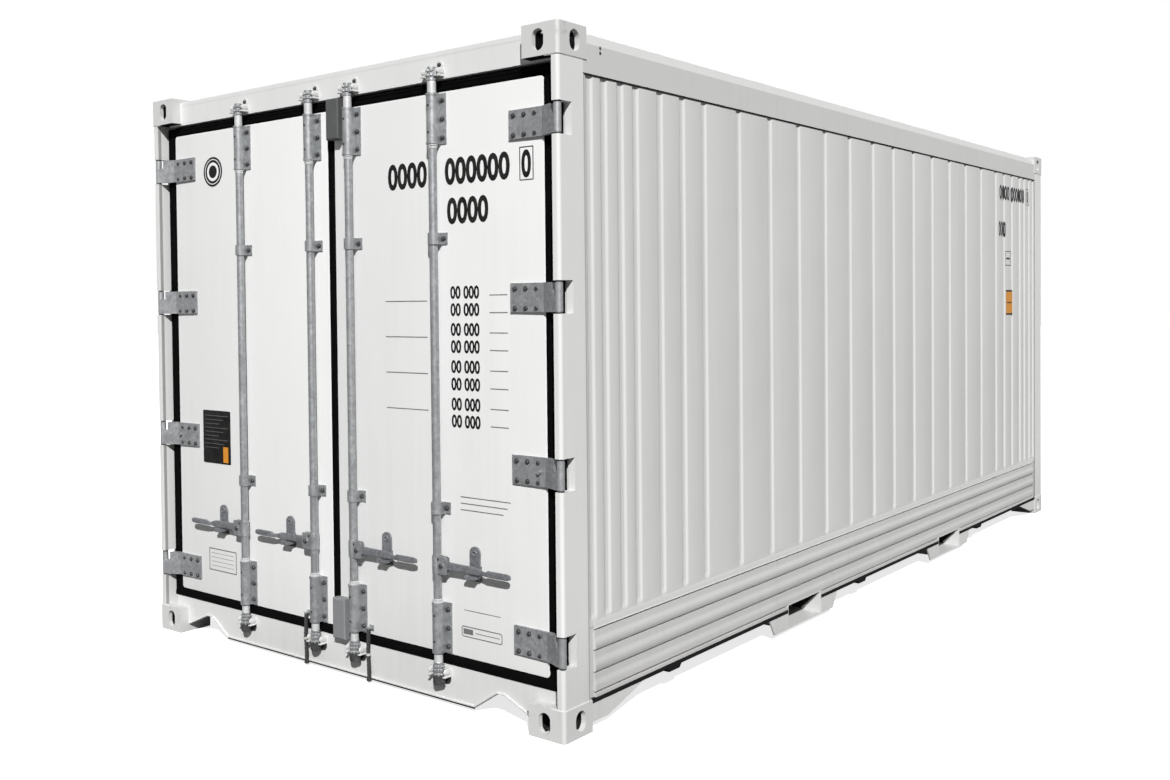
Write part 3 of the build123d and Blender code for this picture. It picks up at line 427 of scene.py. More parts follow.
def casting(nodes, colour):
    """Painted cast steel: enamel over a pitted skin, rubbed at knocks, with painted shade darkening the
    hollows.
    """
    where = nodes.place()
    worn = nodes.spread(nodes.noise(where, 70, 8.0, 0.7), 0.60, 0.74, 0.0, 0.45)
    # The hollows of the corner fittings, here by their middle and half width in metres, are darkened as painted
    # shade
    across = nodes.math("COMPARE", nodes.math("ABSOLUTE", nodes.axis(where, 0)), 1.133, 0.065)
    along = nodes.math("COMPARE", nodes.math("ABSOLUTE", nodes.axis(where, 1)), 2.935, 0.073)
    height = nodes.axis(where, 2)
    level = nodes.math("ADD", *(nodes.math("COMPARE", height, middle, 0.038) for middle in (0.059, 2.532)))
    shaded_hollow = nodes.math("MULTIPLY", level, nodes.math("MULTIPLY", across, along))
    return {
        "Base Color": nodes.mix(shaded_hollow, nodes.mix(worn, colour, "#8B8780"), "#2B2A29"),
        "Roughness": 0.5,
        "Normal": nodes.bump(nodes.noise(where, 5, 4.0), 0.5, 0.0006)}


def rubber(nodes, colour):
    """Extruded EPDM rubber: black and dull, with a grey dust that settles in patches."""
    dust = nodes.spread(nodes.noise(nodes.place(), 90, 6.0, 0.7), 0.45, 0.75, 0.0, 0.02)
    return {"Base Color": nodes.mix(dust, colour, "#55534F"), "Roughness": 0.8, "Specular IOR Level": 0.05}


def moulding(nodes, colour, lit_foot_colour):
    """Moulded hard rubber: dark grey with a dull skin, growing paler towards the foot as painted reflected
    light.
    """
    where = nodes.place()
    # Paler from 2.2 m down to 0.3 m: painted reflected light, with a little random unevenness on top
    low = nodes.spread(nodes.axis(where, 2), 2.2, 0.3, 0.0, 1.0)
    uneven = nodes.spread(nodes.noise(where, 50, 5.0), 0.3, 0.7, -0.12, 0.12)
    return {
        "Base Color": nodes.mix(nodes.math("ADD", low, uneven, use_clamp=True), colour, lit_foot_colour),
        "Roughness": 0.6,
        "Normal": nodes.bump(nodes.noise(where, 4), 0.3, 0.0003)}


def mill_metal(nodes, colour):
    """Extruded aluminium as it left the press: fine draw lines along its length and scuffs from loads."""
    where = nodes.place()
    lines = nodes.noise(nodes.stretched(where, (1, 0.01, 1)), 4)
    scuffs = nodes.noise(where, 160, 7.0)
    return {
        "Base Color": nodes.mix(nodes.math("MULTIPLY", lines, scuffs), colour, "#C9CBCC"),
        "Roughness": nodes.spread(scuffs, 0.3, 0.7, 0.30, 0.52),
        "Metallic": 1.0}


def film(nodes, colour, rough=0.4):
    """Cast vinyl film, a tenth of a millimetre thick and faintly faded by the sun in clouds 40 mm across."""
    fade = nodes.spread(nodes.noise(nodes.place(), 40, 5.0), 0.35, 0.75, 0.0, 0.06)
    return {"Base Color": nodes.mix(fade, colour, "#8C8A86"), "Roughness": rough, "Specular IOR Level": 0.25}


def cordage(nodes, colour):
    """Twisted polypropylene: dull black split film with a few pale rubbed fibres."""
    fibres = nodes.noise(nodes.place(), 3, 5.0)
    return {
        "Base Color": nodes.mix(nodes.spread(fibres, 0.5, 0.8, 0.0, 0.08), colour, "#3A3A39"),
        "Roughness": 0.7,
        "Normal": nodes.bump(fibres, 0.6, 0.0006),
        "Specular IOR Level": 0.06}


# For each kind: the material, the slot of its pieces, the recipe, and a colour or the setting that holds it
FINISHES = {
    "frame_paint": (
        "sprayed_enamel_on_steel", "painted_steel", enamel, "frame_paint", 0.42, 0.06, 0.0005, 0.3),
    # The rails' and walls' paints are greyer than the doors': painted shade for the side, which gets less light
    "rail_paint_shaded": (
        "sprayed_enamel_on_aluminium", "painted_aluminium", enamel, "rail_paint_shaded", 0.36, 0.05, 0.0003, 0.4),
    "panel_paint_shaded": ("coil_coated_panel", "painted_panel", enamel, "panel_paint_shaded", 0.34, 0.05, 0.0009, 0.3),
    "door_paint": ("coil_coated_door_skin", "painted_door", enamel, "door_paint", 0.34, 0.04, 0.0007, 0.2),
    "cast_paint": ("painted_cast_steel", "painted_casting", casting, "cast_paint"),
    "keeper_paint": ("painted_keeper_casting", "galvanised_steel", casting, "#C9C9C8"),
    "bar_zinc": ("galvanised_tube", "galvanised_steel", zinc, "bar_zinc", "#8F9193", 0.46, 0.65, 14.0),
    "cam_zinc": ("zinc_plated_forging", "galvanised_steel", zinc, "#D8D9DA", "#A2A4A6", 0.32, 0.8, 8.0),
    # Bar sleeves and collars wear this lighter zinc as a painted highlight of the lit bar
    "zinc_painted_light": ("zinc_sleeve_painted_highlight", "galvanised_steel", zinc, "#DADADA", "#C0C1C2", 0.42, 0.25, 9.0),
    "handle_zinc": ("galvanised_forging", "galvanised_steel", zinc, "handle_zinc", "#66686A", 0.5, 0.4, 9.0),
    "hinge_zinc": ("galvanised_plate", "hinge_steel", zinc, "hinge_zinc", "#84868A", 0.55, 0.5, 11.0),
    "barrel_zinc": ("bright_zinc_barrel", "hinge_steel", zinc, "#B6B7B8", "#979A9C", 0.45, 0.5, 9.0),
    "bolt_steel": ("dulled_bolt_steel", "bare_steel", zinc, "#5E5E5E", "#3A3A3A", 0.5, 0.6, 6.0),
    "pin_steel": ("turned_pin_steel", "bare_steel", zinc, "#A9A9A9", "#7E7E7E", 0.35, 0.9, 6.0),
    "floor_metal": ("mill_aluminium", "bare_aluminium", mill_metal, "#A9ABAD"),
    "block": ("moulded_stop_block", "hinge_steel", moulding, "#525353", "#808183"),
    "rubber": ("black_door_rubber", "black_rubber", rubber, "rubber"),
    # Black: painted shade in the pockets, under the sills' edges and under the kick rails, and a plain black
    # finish elsewhere
    "black_coat_and_shade": ("black_coating_and_painted_shade", "black_rubber", rubber, "#202020"),
    # The next two are painted shade: dark and grey lines at joints and edges of the frame
    "dark_shade_line": ("dark_shade_line", "black_rubber", rubber, "#2E2E2E"),
    "grey_shade_line": ("grey_painted_shade", "black_rubber", film, "#9A9A98", 0.6),
    "rope": ("black_rope", "black_rope", cordage, "#040404"),
    "band": ("pale_tape", "black_rope", film, "#B9B7B0", 0.6),
    "mark": ("black_film", None, film, "#080808"),
    "soft_mark": ("grey_film", None, film, "#6F6F6F"),
    "orange": ("orange_film", None, film, "orange"),
    "white_film": ("white_film", None, film, "#EFEFEF"),
}

SLOT_FINISHES = {
    "painted_casting": "cast_paint",
    "painted_steel": "frame_paint",
    "painted_aluminium": "rail_paint_shaded",
    "painted_door": "door_paint",
    "painted_panel": "panel_paint_shaded",
    "bare_aluminium": "floor_metal",
    "bare_steel": "pin_steel",
    "galvanised_steel": "bar_zinc",
    "hinge_steel": "hinge_zinc",
    "black_rubber": "rubber",
    "black_rope": "rope",
}

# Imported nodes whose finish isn't that of their slot
NODE_FINISHES = {"middle_blocks": "block", "drain_outlets": "black_coat_and_shade", "cross_beams": "black_coat_and_shade"}
NODE_FINISHES.update({f"{side}_handle_keeps": "handle_zinc" for side in SIDES})
NODE_FINISHES.update({f"{side}_{place}_handle": "handle_zinc" for side in SIDES for place in PLACES})


def finish(kind):
    """The material of one kind, made once."""
    name, _, recipe, colour, *values = FINISHES[kind]
    material = bpy.data.materials.get(name)
    if material is None:
        material = bpy.data.materials.new(name)
        nodes = Nodes(material)
        colour = getattr(bpy.context.scene.container_look, colour, colour)
        surface = nodes.add("ShaderNodeBsdfPrincipled", recipe(nodes, colour, *values))
        nodes.end("ShaderNodeOutputMaterial", surface)
    return material


# Settings that a user would change


class ContainerLook(bpy.types.PropertyGroup):
    """Colours of the container's finishes, as sRGB hex codes."""

    frame_paint: StringProperty(name="Frame paint", description="Enamel on the frame", default="#DFDFDE")
    # Rail and panel paints are set greyer than the door paint as painted shade for the less lit side
    rail_paint_shaded: StringProperty(name="Rail paint", description="Enamel on the long rails", default="#CECECD")
    panel_paint_shaded: StringProperty(name="Panel paint", description="Coating of the walls", default="#D3D3D2")
    door_paint: StringProperty(name="Door paint", description="Coating of the doors", default="#E9E9E8")
    cast_paint: StringProperty(name="Casting paint", description="Enamel on the castings", default="#CFCFCE")
    bar_zinc: StringProperty(name="Bar zinc", description="Locking bars and bearings", default="#B5B7B8")
    hinge_zinc: StringProperty(name="Hinge zinc", description="Hinge leaves", default="#AFB0B1")
    handle_zinc: StringProperty(name="Handle zinc", description="Handles and their keeps", default="#94969A")
    rubber: StringProperty(name="Rubber", description="Door seals", default="#050505")
    orange: StringProperty(name="Orange film", description="Small patches of film", default="#D48C2A")


class ContainerSizes(bpy.types.PropertyGroup):
    """Sizes of the small hardware, in millimetres."""

    hinge_bolt: FloatProperty(name="Hinge bolt", description="Across the flats", default=14.0, min=8.0)
    bearing_bolt: FloatProperty(name="Bearing bolt", description="Across the flats", default=14.0, min=6.0)
    cam_lobes: IntProperty(name="Cam lobes", description="Lobes round each cam", default=7, min=3)
    weld_radius: FloatProperty(name="Weld bead", description="Radius of a weld bead", default=4.0, min=1.0)


class ContainerStage(bpy.types.PropertyGroup):
    """Light, floor and camera."""

    sun_strength: FloatProperty(name="Main lamp", description="Strength of the high lamp", default=4.5, min=0.0)
    fill_strength: FloatProperty(name="Fill lamp", description="Strength of the low lamp", default=2.2, min=0.0)
    sky_strength: FloatProperty(name="Sky", description="Even light from all round", default=0.10, min=0.0)
    lens: FloatProperty(name="Lens", description="Focal length", unit="CAMERA", default=36.42, min=10.0)
    camera_place: FloatVectorProperty(
        name="Camera place", description="Where the camera stands", subtype="TRANSLATION", unit="LENGTH",
        default=(3.6809, -6.4697, 1.5958))


# Pieces


class ContainerOperator:
    """What all the container's operators share."""

    bl_options = {"REGISTER", "UNDO"}


class CONTAINER_OT_stage(ContainerOperator, bpy.types.Operator):
    """Makes the floor, the lamps, the sky and the camera at the photographed angle"""

    bl_idname = "container.stage"
    bl_label = "Floor, light and camera"

    def execute(self, context):
        scene = context.scene
        stage = scene.container_stage
        scene.view_settings.view_transform = "Standard"

        camera = bpy.data.objects.new("camera", bpy.data.cameras.new("camera"))
        camera.data.sensor_width = 36.0
        camera.data.lens = stage.lens
        camera.data.shift_x = 0.1312
        camera.data.shift_y = -0.0529
        camera.data.clip_end = 200.0
        right, up, back = (0.7454, 0.6665, -0.0124), (-0.0055, 0.0248, 0.9997), (0.6666, -0.7451, 0.0222)
        turned = Matrix((right, up, back)).transposed().to_4x4()
        camera.matrix_world = Matrix.Translation(stage.camera_place) @ turned
        scene.collection.objects.link(camera)
        scene.camera = camera

        # Each lamp shines from the direction given, with a disc wide enough for soft edges
        lamps = (
            ("main_lamp", stage.sun_strength, (0.93, -1.07, 1.05), 1.5),
            ("fill_lamp", stage.fill_strength, (-0.66, 0.74, 0.12), 50.0),
        )
        for name, strength, towards, angle in lamps:
            lamp = bpy.data.objects.new(name, bpy.data.lights.new(name, "SUN"))
            lamp.data.energy = strength
            lamp.data.angle = math.radians(angle)
            z = np.array(towards) / np.linalg.norm(towards)
            x = np.cross((0, 0, 1), z)
            x /= np.linalg.norm(x)
            lamp.matrix_world = Matrix((x, np.cross(z, x), z)).transposed().to_4x4()
            scene.collection.objects.link(lamp)

        # The sky is white to the camera, duller to reflections, and dim as a light
        scene.world = bpy.data.worlds.new("white_sky")
        nodes = Nodes(scene.world)
        camera_ray, clear_ray, glossy_ray = (
            nodes.light_path(f"Is {kind} Ray") for kind in ("Camera", "Transmission", "Glossy"))
        seen = nodes.math("MAXIMUM", camera_ray, clear_ray)
        bright = nodes.math("MAXIMUM", seen, nodes.math("MULTIPLY", glossy_ray, 0.5))
        level = nodes.spread(bright, 0.0, 1.0, stage.sky_strength, 1.0)
        sky = nodes.add("ShaderNodeBackground", {"Color": WHITE, "Strength": level})
        nodes.end("ShaderNodeOutputWorld", sky)

        # The floor is a wide disc, lifted to white for the camera alone, so it throws little light upwards
        floor_radius = 60000
        points, faces = slab(circle(floor_radius, 96), -20, 0)
        mesh = bpy.data.meshes.new("floor")
        mesh.from_pydata((points * 0.001).tolist(), [], faces)
        floor = bpy.data.objects.new("floor", mesh)
        scene.collection.objects.link(floor)
        material = bpy.data.materials.new("pale_floor")
        nodes = Nodes(material)
        tint = nodes.mix(nodes.noise(nodes.place(), 30), "#E2E2E2", "#EAEAEA")
        seen = nodes.light_path("Is Camera Ray")
        matt = nodes.add("ShaderNodeBsdfDiffuse", {"Color": nodes.mix(seen, "#7C7C7C", tint)})
        lift = nodes.math("MULTIPLY", seen, 0.78)
        glow = nodes.add("ShaderNodeEmission", {"Color": WHITE, "Strength": lift})
        nodes.end("ShaderNodeOutputMaterial", nodes.add("ShaderNodeAddShader", {0: matt, 1: glow}))
        mesh.materials.append(material)
        return {"FINISHED"}


class CONTAINER_OT_finishes(ContainerOperator, bpy.types.Operator):
    """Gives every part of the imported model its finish"""

    bl_idname = "container.finishes"
    bl_label = "Finishes"

    def execute(self, context):
        kinds = {row["node"]: SLOT_FINISHES[row["material_slot"]] for row in frame["record"]["subparts"]}
        kinds.update(NODE_FINISHES)
        for name, kind in kinds.items():
            materials = frame["nodes"][name].data.materials
            materials.clear()
            materials.append(finish(kind))
        return {"FINISHED"}


class CONTAINER_OT_tie_ropes(ContainerOperator, bpy.types.Operator):
    """Hangs the two short ropes with their taped bands and end knots"""

    bl_idname = "container.tie_ropes"
    bl_label = "Tie ropes"

    def execute(self, context):
        for side, hook in ROPE_PLACES.items():
            curve = bpy.data.curves.new(f"{side}_route", "CURVE")
            curve.dimensions = "3D"
            curve.resolution_u = 16
            spline = curve.splines.new("NURBS")
            spline.points.add(len(ROPE_ROUTE) - 1)
            for point, step in zip(spline.points, ROPE_ROUTE):
                point.co = (*(np.add(hook, step) * 0.001), 1)
            spline.order_u = 3
            spline.use_endpoint_u = True
            path = flattened(curve)[0] * 1000

            # Three strands turn round the route, once for each lay
            run = np.concatenate([[0], np.cumsum(np.linalg.norm(np.diff(path, axis=0), axis=1))])
            along = np.linspace(0, run[-1], 90)
            line = np.stack([np.interp(along, run, path[:, axis]) for axis in range(3)], -1)
            strands = []
            for number in range(3):
                turn = 2 * math.pi * (along / ROPE_LAY + number / 3)
                offset = 4.2 * np.column_stack([spokes(turn), 0 * turn])
                strands.append(carried(line + offset, circle(5.0, 10)))
            rope = make(f"{side}_rope_strands", strands, "rope", f"{side}_door")
            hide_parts(f"{side}_tie_rope")

            near = np.argmin(np.abs(run - BAND_PLACE))
            sleeve = carried(path[near - 2:near + 3], circle(10.0, 20))
            band = make(f"{side}_rope_band", [sleeve], "band", f"{side}_door")
            heap = [
                put(barrel(circle(radius, 20), -5, 5, radius * 0.35, 3), path[-1] + (0, 0, rise))
                for radius, rise in ((10.5, 3.0), (11.5, -4.0))]
            knot = make(f"{side}_rope_knot", heap, "rope", f"{side}_door")
        return {"FINISHED"}


class CONTAINER_OT_side_walls(ContainerOperator, bpy.types.Operator):
    """Presses the wide, soft grooves into the skins of both side walls"""

    bl_idname = "container.side_walls"
    bl_label = "Side walls"

    def execute(self, context):
        places = np.concatenate([GROOVE_PLACES, np.negative(GROOVE_PLACES)])
        soft = np.arange(GROOVE_FLOOR, GROOVE_FLOOR + GROOVE_FLANK + 1, 3)
        for side, s in SIDES.items():
            low, high = mm(f"{side}_wall")
            inner, outer = sorted(np.abs((low[0], high[0])))
            edges = places[:, None] + np.concatenate([-soft, [0], soft])
            y = np.unique(np.concatenate([[low[1], high[1]], edges.ravel()]))
            run_out = range(GROOVE_FOOT, GROOVE_FOOT + GROOVE_RUN_OUT + 1, 5)
            z = np.array([low[2], *run_out, 1300, high[2]])
            rows = self.rows(y, z, places, inner, outer)
            if s < 0:
                rows = rows[:, ::-1] * (-1, 1, 1)
            wall = make(f"{side}_grooved_wall", [loft(rows)], "panel_paint_shaded", smooth=50)
            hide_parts(f"{side}_wall")
        return {"FINISHED"}

    def rows(self, y, z, places, inner, outer):
        """Outlines at each height: the face sinks at each groove, over flanks of half a cosine wave.

        Towards its foot a groove runs out, as the smooth step 3 t^2 - 2 t^3 of the height above the foot.
        """
        off = np.abs(y[:, None] - places).min(axis=1)
        flank = 0.5 + 0.5 * np.cos(np.clip((off - GROOVE_FLOOR) / GROOVE_FLANK, 0, 1) * math.pi)
        out = np.clip((z - GROOVE_FOOT) / GROOVE_RUN_OUT, 0, 1)
        out = out * out * (3 - 2 * out)
        x = outer - GROOVE_DEPTH * flank[None] * out[:, None]
        face = np.stack([x, np.broadcast_to(y, x.shape), np.broadcast_to(z[:, None], x.shape)], -1)
        back = np.array([[(inner, y[-1], level), (inner, y[0], level)] for level in z])
        return np.concatenate([face, back], axis=1)


class CONTAINER_OT_kick_rails(ContainerOperator, bpy.types.Operator):
    """Extrudes both kick rails with their lapped boards, and hangs a black strip of painted shade under each"""

    bl_idname = "container.kick_rails"
    bl_label = "Kick rails"

    def execute(self, context):
        reach = 2822
        strip = [(1194, 103), (1215.9, 103), (1215.9, 120), (1194, 120)]
        for side, s in SIDES.items():
            low, high = mm(f"{side}_kick_rail")
            inner = min(abs(low[0]), abs(high[0]))
            upper = self.outline(POCKET_NOTCH_TOP, RAIL_TOP, inner)
            lower = self.outline(low[2], POCKET_NOTCH_TOP, inner)
            block = [(inner, low[2]), (1206, low[2]), (1206, high[2]), (inner, high[2])]
            runs = [(upper, -reach, reach), (block, -high[1], -reach), (block, reach, high[1])]
            runs += [(lower, *span) for span in free_runs(reach, POCKET_CLEAR)]
            rail = make(f"{side}_lapped_rail", [self.run(*each, s) for each in runs], "rail_paint_shaded", smooth=40)
            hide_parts(f"{side}_kick_rail")
            # The black strip under each rail is painted shade
            strips = [self.run(strip, *span, s) for span in free_runs(2850, POCKET_CLEAR)]
            make(f"{side}_foot_shade_strip", strips, "black_coat_and_shade")
        return {"FINISHED"}

    def run(self, outline, start, stop, s):
        """An outline in x and z drawn along y, mirrored for the left side."""
        return put(slab(mirrored(outline, s), -stop, -start), (0, 0, 0), DOOR_WAY)

    def outline(self, bottom, top, inner):
        """The rail's section: under each lap line the board is set back, then swells out in a cosine wave."""
        laps = (137, 212, 294, 372)
        shoulder = 385
        wave = np.linspace(0, 1, 9)
        step = ((1209.5, -5), (1204, -4), (1204, 3.5), (1213.4, 3.5), (RAIL_FACE, 5.5))
        face = [(RAIL_FACE, 120), (RAIL_FACE, 131)]
        for lap, above in zip(laps, (*laps[1:], None)):
            face += [(x, lap + rise) for x, rise in step]
            if above:
                middle = (lap + above) / 2
                face += [(1212.25 + 2.75 * math.cos(t * math.pi), middle - 15 + 30 * t) for t in wave]
        face += [(1213.5, 379), (1212.2, 384), (1211.6, 400), (1210, RAIL_TOP)]
        face += [(1209, RAIL_TOP), (1209, shoulder), (inner, shoulder)]
        face = np.array(face)
        kept = face[(face[:, 1] > bottom) & (face[:, 1] <= top)]
        if top < shoulder:
            kept = np.concatenate([kept, [(RAIL_FACE, top), (inner, top)]])
        return np.concatenate([[(inner, bottom), (RAIL_FACE, bottom)], kept])


class CONTAINER_OT_pocket_coating(ContainerOperator, bpy.types.Operator):
    """Lays black sheets in the pockets as painted shade, a black sheet under the slab and black drain cups, and
    faces the gussets beside the pockets
    """

    bl_idname = "container.pocket_coating"
    bl_label = "Pockets and underside"

    def execute(self, context):
        # Black sheets, painted shade, line the roof and sides of each pocket up to a slope at its painted
        # mouths
        roof = slab(rounded(2412, 356, 4), 0, 1.5)
        side = slab([(-1110, -48), (1110, -48), (1206, 48), (-1206, 48)], 0, 1.5)
        shapes = []
        for middle in POCKET_PLACES:
            shapes.append(put(roof, (0, middle, 136.4)))
            shapes.append(put(side, (0, middle + 180, 86), DOOR_WAY))
            shapes.append(put(side, (0, middle - 180, 86), FRONT_WAY))
        make("pocket_coating", shapes, "black_coat_and_shade")

        # A black sheet lies under the slab, between the pockets and out to both ends
        low, high = mm("floor_panel")
        runs = free_runs(0, POCKET_CLEAR + 1)
        under_sheets = []
        for start, stop in ((low[1] + 4, runs[0][1]), runs[1], (runs[2][0], high[1] - 4)):
            sheet = slab(rounded(high[0] - low[0] - 8, stop - start, 4), -1.2, 0)
            under_sheets.append(put(sheet, (0, (start + stop) / 2, low[2])))
        make("slab_black_sheet", under_sheets, "black_coat_and_shade")

        # Long-footed cheeks face the gussets beside each pocket
        cheek = [(186, 28), (326, 28), (375, 103), (186, 103)]
        cheeks = [
            drawn(mirrored(cheek, way), s * 1208.5, s * 1215.6, middle)
            for s in SIDES.values() for middle in POCKET_PLACES for way in (-1, 1)]
        make("pocket_cheeks", cheeks, "frame_paint")

        # A folded cup hangs round each drain outlet
        cup = [(-54, 104), (-47, 87), (36, 87), (54, 104)]
        cups = [drawn(cup, s * 1188, s * 1215.5, y) for s in SIDES.values() for y in OUTLET_PLACES]
        make("outlet_cups", cups, "black_coat_and_shade")
        return {"FINISHED"}


class CONTAINER_OT_door_seals(ContainerOperator, bpy.types.Operator):
    """Lays the round lips of each door's seal, its skirt over the sill, and the door's outer skin"""

    bl_idname = "container.door_seals"
    bl_label = "Door seals and skins"

    def execute(self, context):
        fold = [
            (-2962, 187), (-2975.8, 179), (-2975.8, 168), (-2977.4, 166.4), (-2979, 168), (-2979, 186),
            (-2970, 204), (-2962, 204)]
        for side, s in SIDES.items():
            low, high = mm(f"{side}_door_gasket")
            panel_low, panel_high = mm(f"{side}_door_panel")
            size = panel_high - panel_low
            middle = (panel_low + panel_high) / 2
            lips = []
            # Each lip runs at this share of the way from the panel's edge to the seal's own
            for share in (0.3, 0.78):
                wide, _, tall = size * (1 - share) + (high - low - 8) * share
                place = middle * (1 - share) + (low + high) / 2 * share
                place[1] = low[1] + 0.5
                ring = rounded(wide, tall, 18, 7)
                path, _ = put((raised(ring, 0), []), place, DOOR_WAY)
                lips.append(carried(path, circle(3.2, 8), closed=True))
            make(f"{side}_seal_lips", lips, "rubber", f"{side}_door")

            # The outer skin hangs below the foam panel, and under it the seal's skirt laps over the sill
            sheet = pad(rounded(size[0], size[2] + SKIN_HANG, 14, 9), SKIN_THICK, 1.5)
            place = (middle[0], SKIN_FACE + SKIN_THICK, middle[2] - SKIN_HANG / 2)
            skin = put(sheet, place, DOOR_WAY)
            make(f"{side}_door_skin", [skin], "door_paint", f"{side}_door")
            make(f"{side}_seal_skirt", [drawn(fold, s * 6, s * 1160)], "rubber", f"{side}_door")
        return {"FINISHED"}


class CONTAINER_OT_hinge_hardware(ContainerOperator, bpy.types.Operator):
    """Puts six bolts on every hinge leaf, a sleeve round its barrel and a washer at both ends of the pin"""

    bl_idname = "container.hinge_hardware"
    bl_label = "Hinge hardware"

    def execute(self, context):
        head = bolt(context.scene.container_sizes.hinge_bolt)
        tube = barrel(circle(14.3, 40), -51, 51, 1.6)
        washer = barrel(circle(13.5, 32), 0, 4.2, 0.8)
        for side, s in SIDES.items():
            heads = [
                put(head, (s * (978 + 50 * column), LEAF_FACE, level + rise), DOOR_WAY)
                for level in HINGE_LEVELS for column in range(3) for rise in (-40, 33)]
            make(f"{side}_hinge_bolts", heads, "bolt_steel", f"{side}_door")
            sleeves = [put(tube, (s * PIN_X, PIN_Y, level)) for level in HINGE_LEVELS]
            make(f"{side}_hinge_sleeves", sleeves, "barrel_zinc", f"{side}_door")
            rings = [
                put(washer, (s * PIN_X, PIN_Y, level + rise))
                for level in HINGE_LEVELS for rise in (-59.6, 55.4)]
            make(f"{side}_pin_washers", rings, "bolt_steel")
        return {"FINISHED"}


class CONTAINER_OT_bar_hardware(ContainerOperator, bpy.types.Operator):
    """Bolts the bearings to the doors and dresses each bar with cams, rings, sleeves, a shoe and studs"""

    bl_idname = "container.bar_hardware"
    bl_label = "Bar hardware"

    def execute(self, context):
        sizes = context.scene.container_sizes
        head = bolt(sizes.bearing_bolt)
        screw = plate(circle(5.2, 20), [(0, 0), (0, 1.4), (0.8, 2.6), (2.4, 3.2), (3.4, 2.2)])
        lobed = lobes(19.5, 23.5, sizes.cam_lobes, 84)
        for side, s in SIDES.items():
            heads = []
            for place in PLACES:
                x = s * BAR_PLACES[place]
                on_flange = (x + BOLT_ASIDE, FLANGE_FACE, 0)
                on_cap = (x - 1, BAR_Y - 22.5, 0)
                for bottom in LONG_BEARINGS:
                    heads += stacked(head, on_flange, [bottom + rise for rise in (24, 97, 170)])
                    heads += stacked(screw, on_cap, [bottom + rise for rise in (46, 150)])
                heads += stacked(head, on_flange, RING_LEVELS)
                self.dress_bar(f"{side}_{place}", x, s, lobed)
            make(f"{side}_bearing_bolts", heads, "bolt_steel", f"{side}_door")
        return {"FINISHED"}

    def dress_bar(self, bar, x, s, lobed):
        """Lobed plates, rings and sleeves at both ends of one bar, its shoe and the studs of its hub."""
        cams = []
        sleeves = []
        for plates, ring, neck, collars in BAR_ENDS:
            cams += [barrel(lobed, level, level + CAM_THICK, 2) for level in plates]
            cams.append(barrel(circle(20.5, 32), ring - 5, ring + 5, 1.5, 2))
            # Collars and neck sleeves get the lighter zinc: a painted highlight
            for radius, level in zip((21.5, 19.0), collars):
                sleeves.append(barrel(circle(radius, 36), level - 4, level + 4, 1.5))
            sleeves.append(barrel(circle(17.8, 36), *neck, 0.8, 1))
        shoe = plate(self.shoe(s), [(1, 86.5), (0, 88), (0, 125), (2, 127)])
        star = barrel(lobes(18.0, 23.5, 8, 96), 92, 123, 2)
        cams, sleeves, shoes = (
            [put(shape, (x, BAR_Y, 0)) for shape in some] for some in (cams, sleeves, (shoe, star)))
        body = f"{bar}_bar"
        make(f"{bar}_cams", cams, "cam_zinc", body)
        make(f"{bar}_bar_sleeves", sleeves, "zinc_painted_light", body)
        make(f"{bar}_cam_shoe", shoes, "bolt_steel", body, "galvanised_steel")
        rivet = plate(circle(5, 16), [(0, 0), (0.6, 2.0), (2.6, 3.4)])
        nut = put(bolt(13, 5), (x + s * HANDLE_PIVOT, -3022, HANDLE_LEVEL), DOOR_WAY)
        dot = put(rivet, (x + s * 18, -3017, HANDLE_LEVEL + 23), DOOR_WAY)
        make(f"{bar}_hub_studs", [nut, dot], "bolt_steel", body)

    def shoe(self, s):
        """The outline round two circles and their tangents, a smaller circle 20 mm beside the bar's own."""
        large, small, apart = 21.0, 10.5, 20.0
        touch = math.acos((large - small) / apart)
        nose = spokes(np.linspace(-touch, touch, 12)) * small + (apart, 0)
        back = spokes(np.linspace(touch, 2 * math.pi - touch, 28)) * large
        return mirrored(np.concatenate([nose, back]), s)


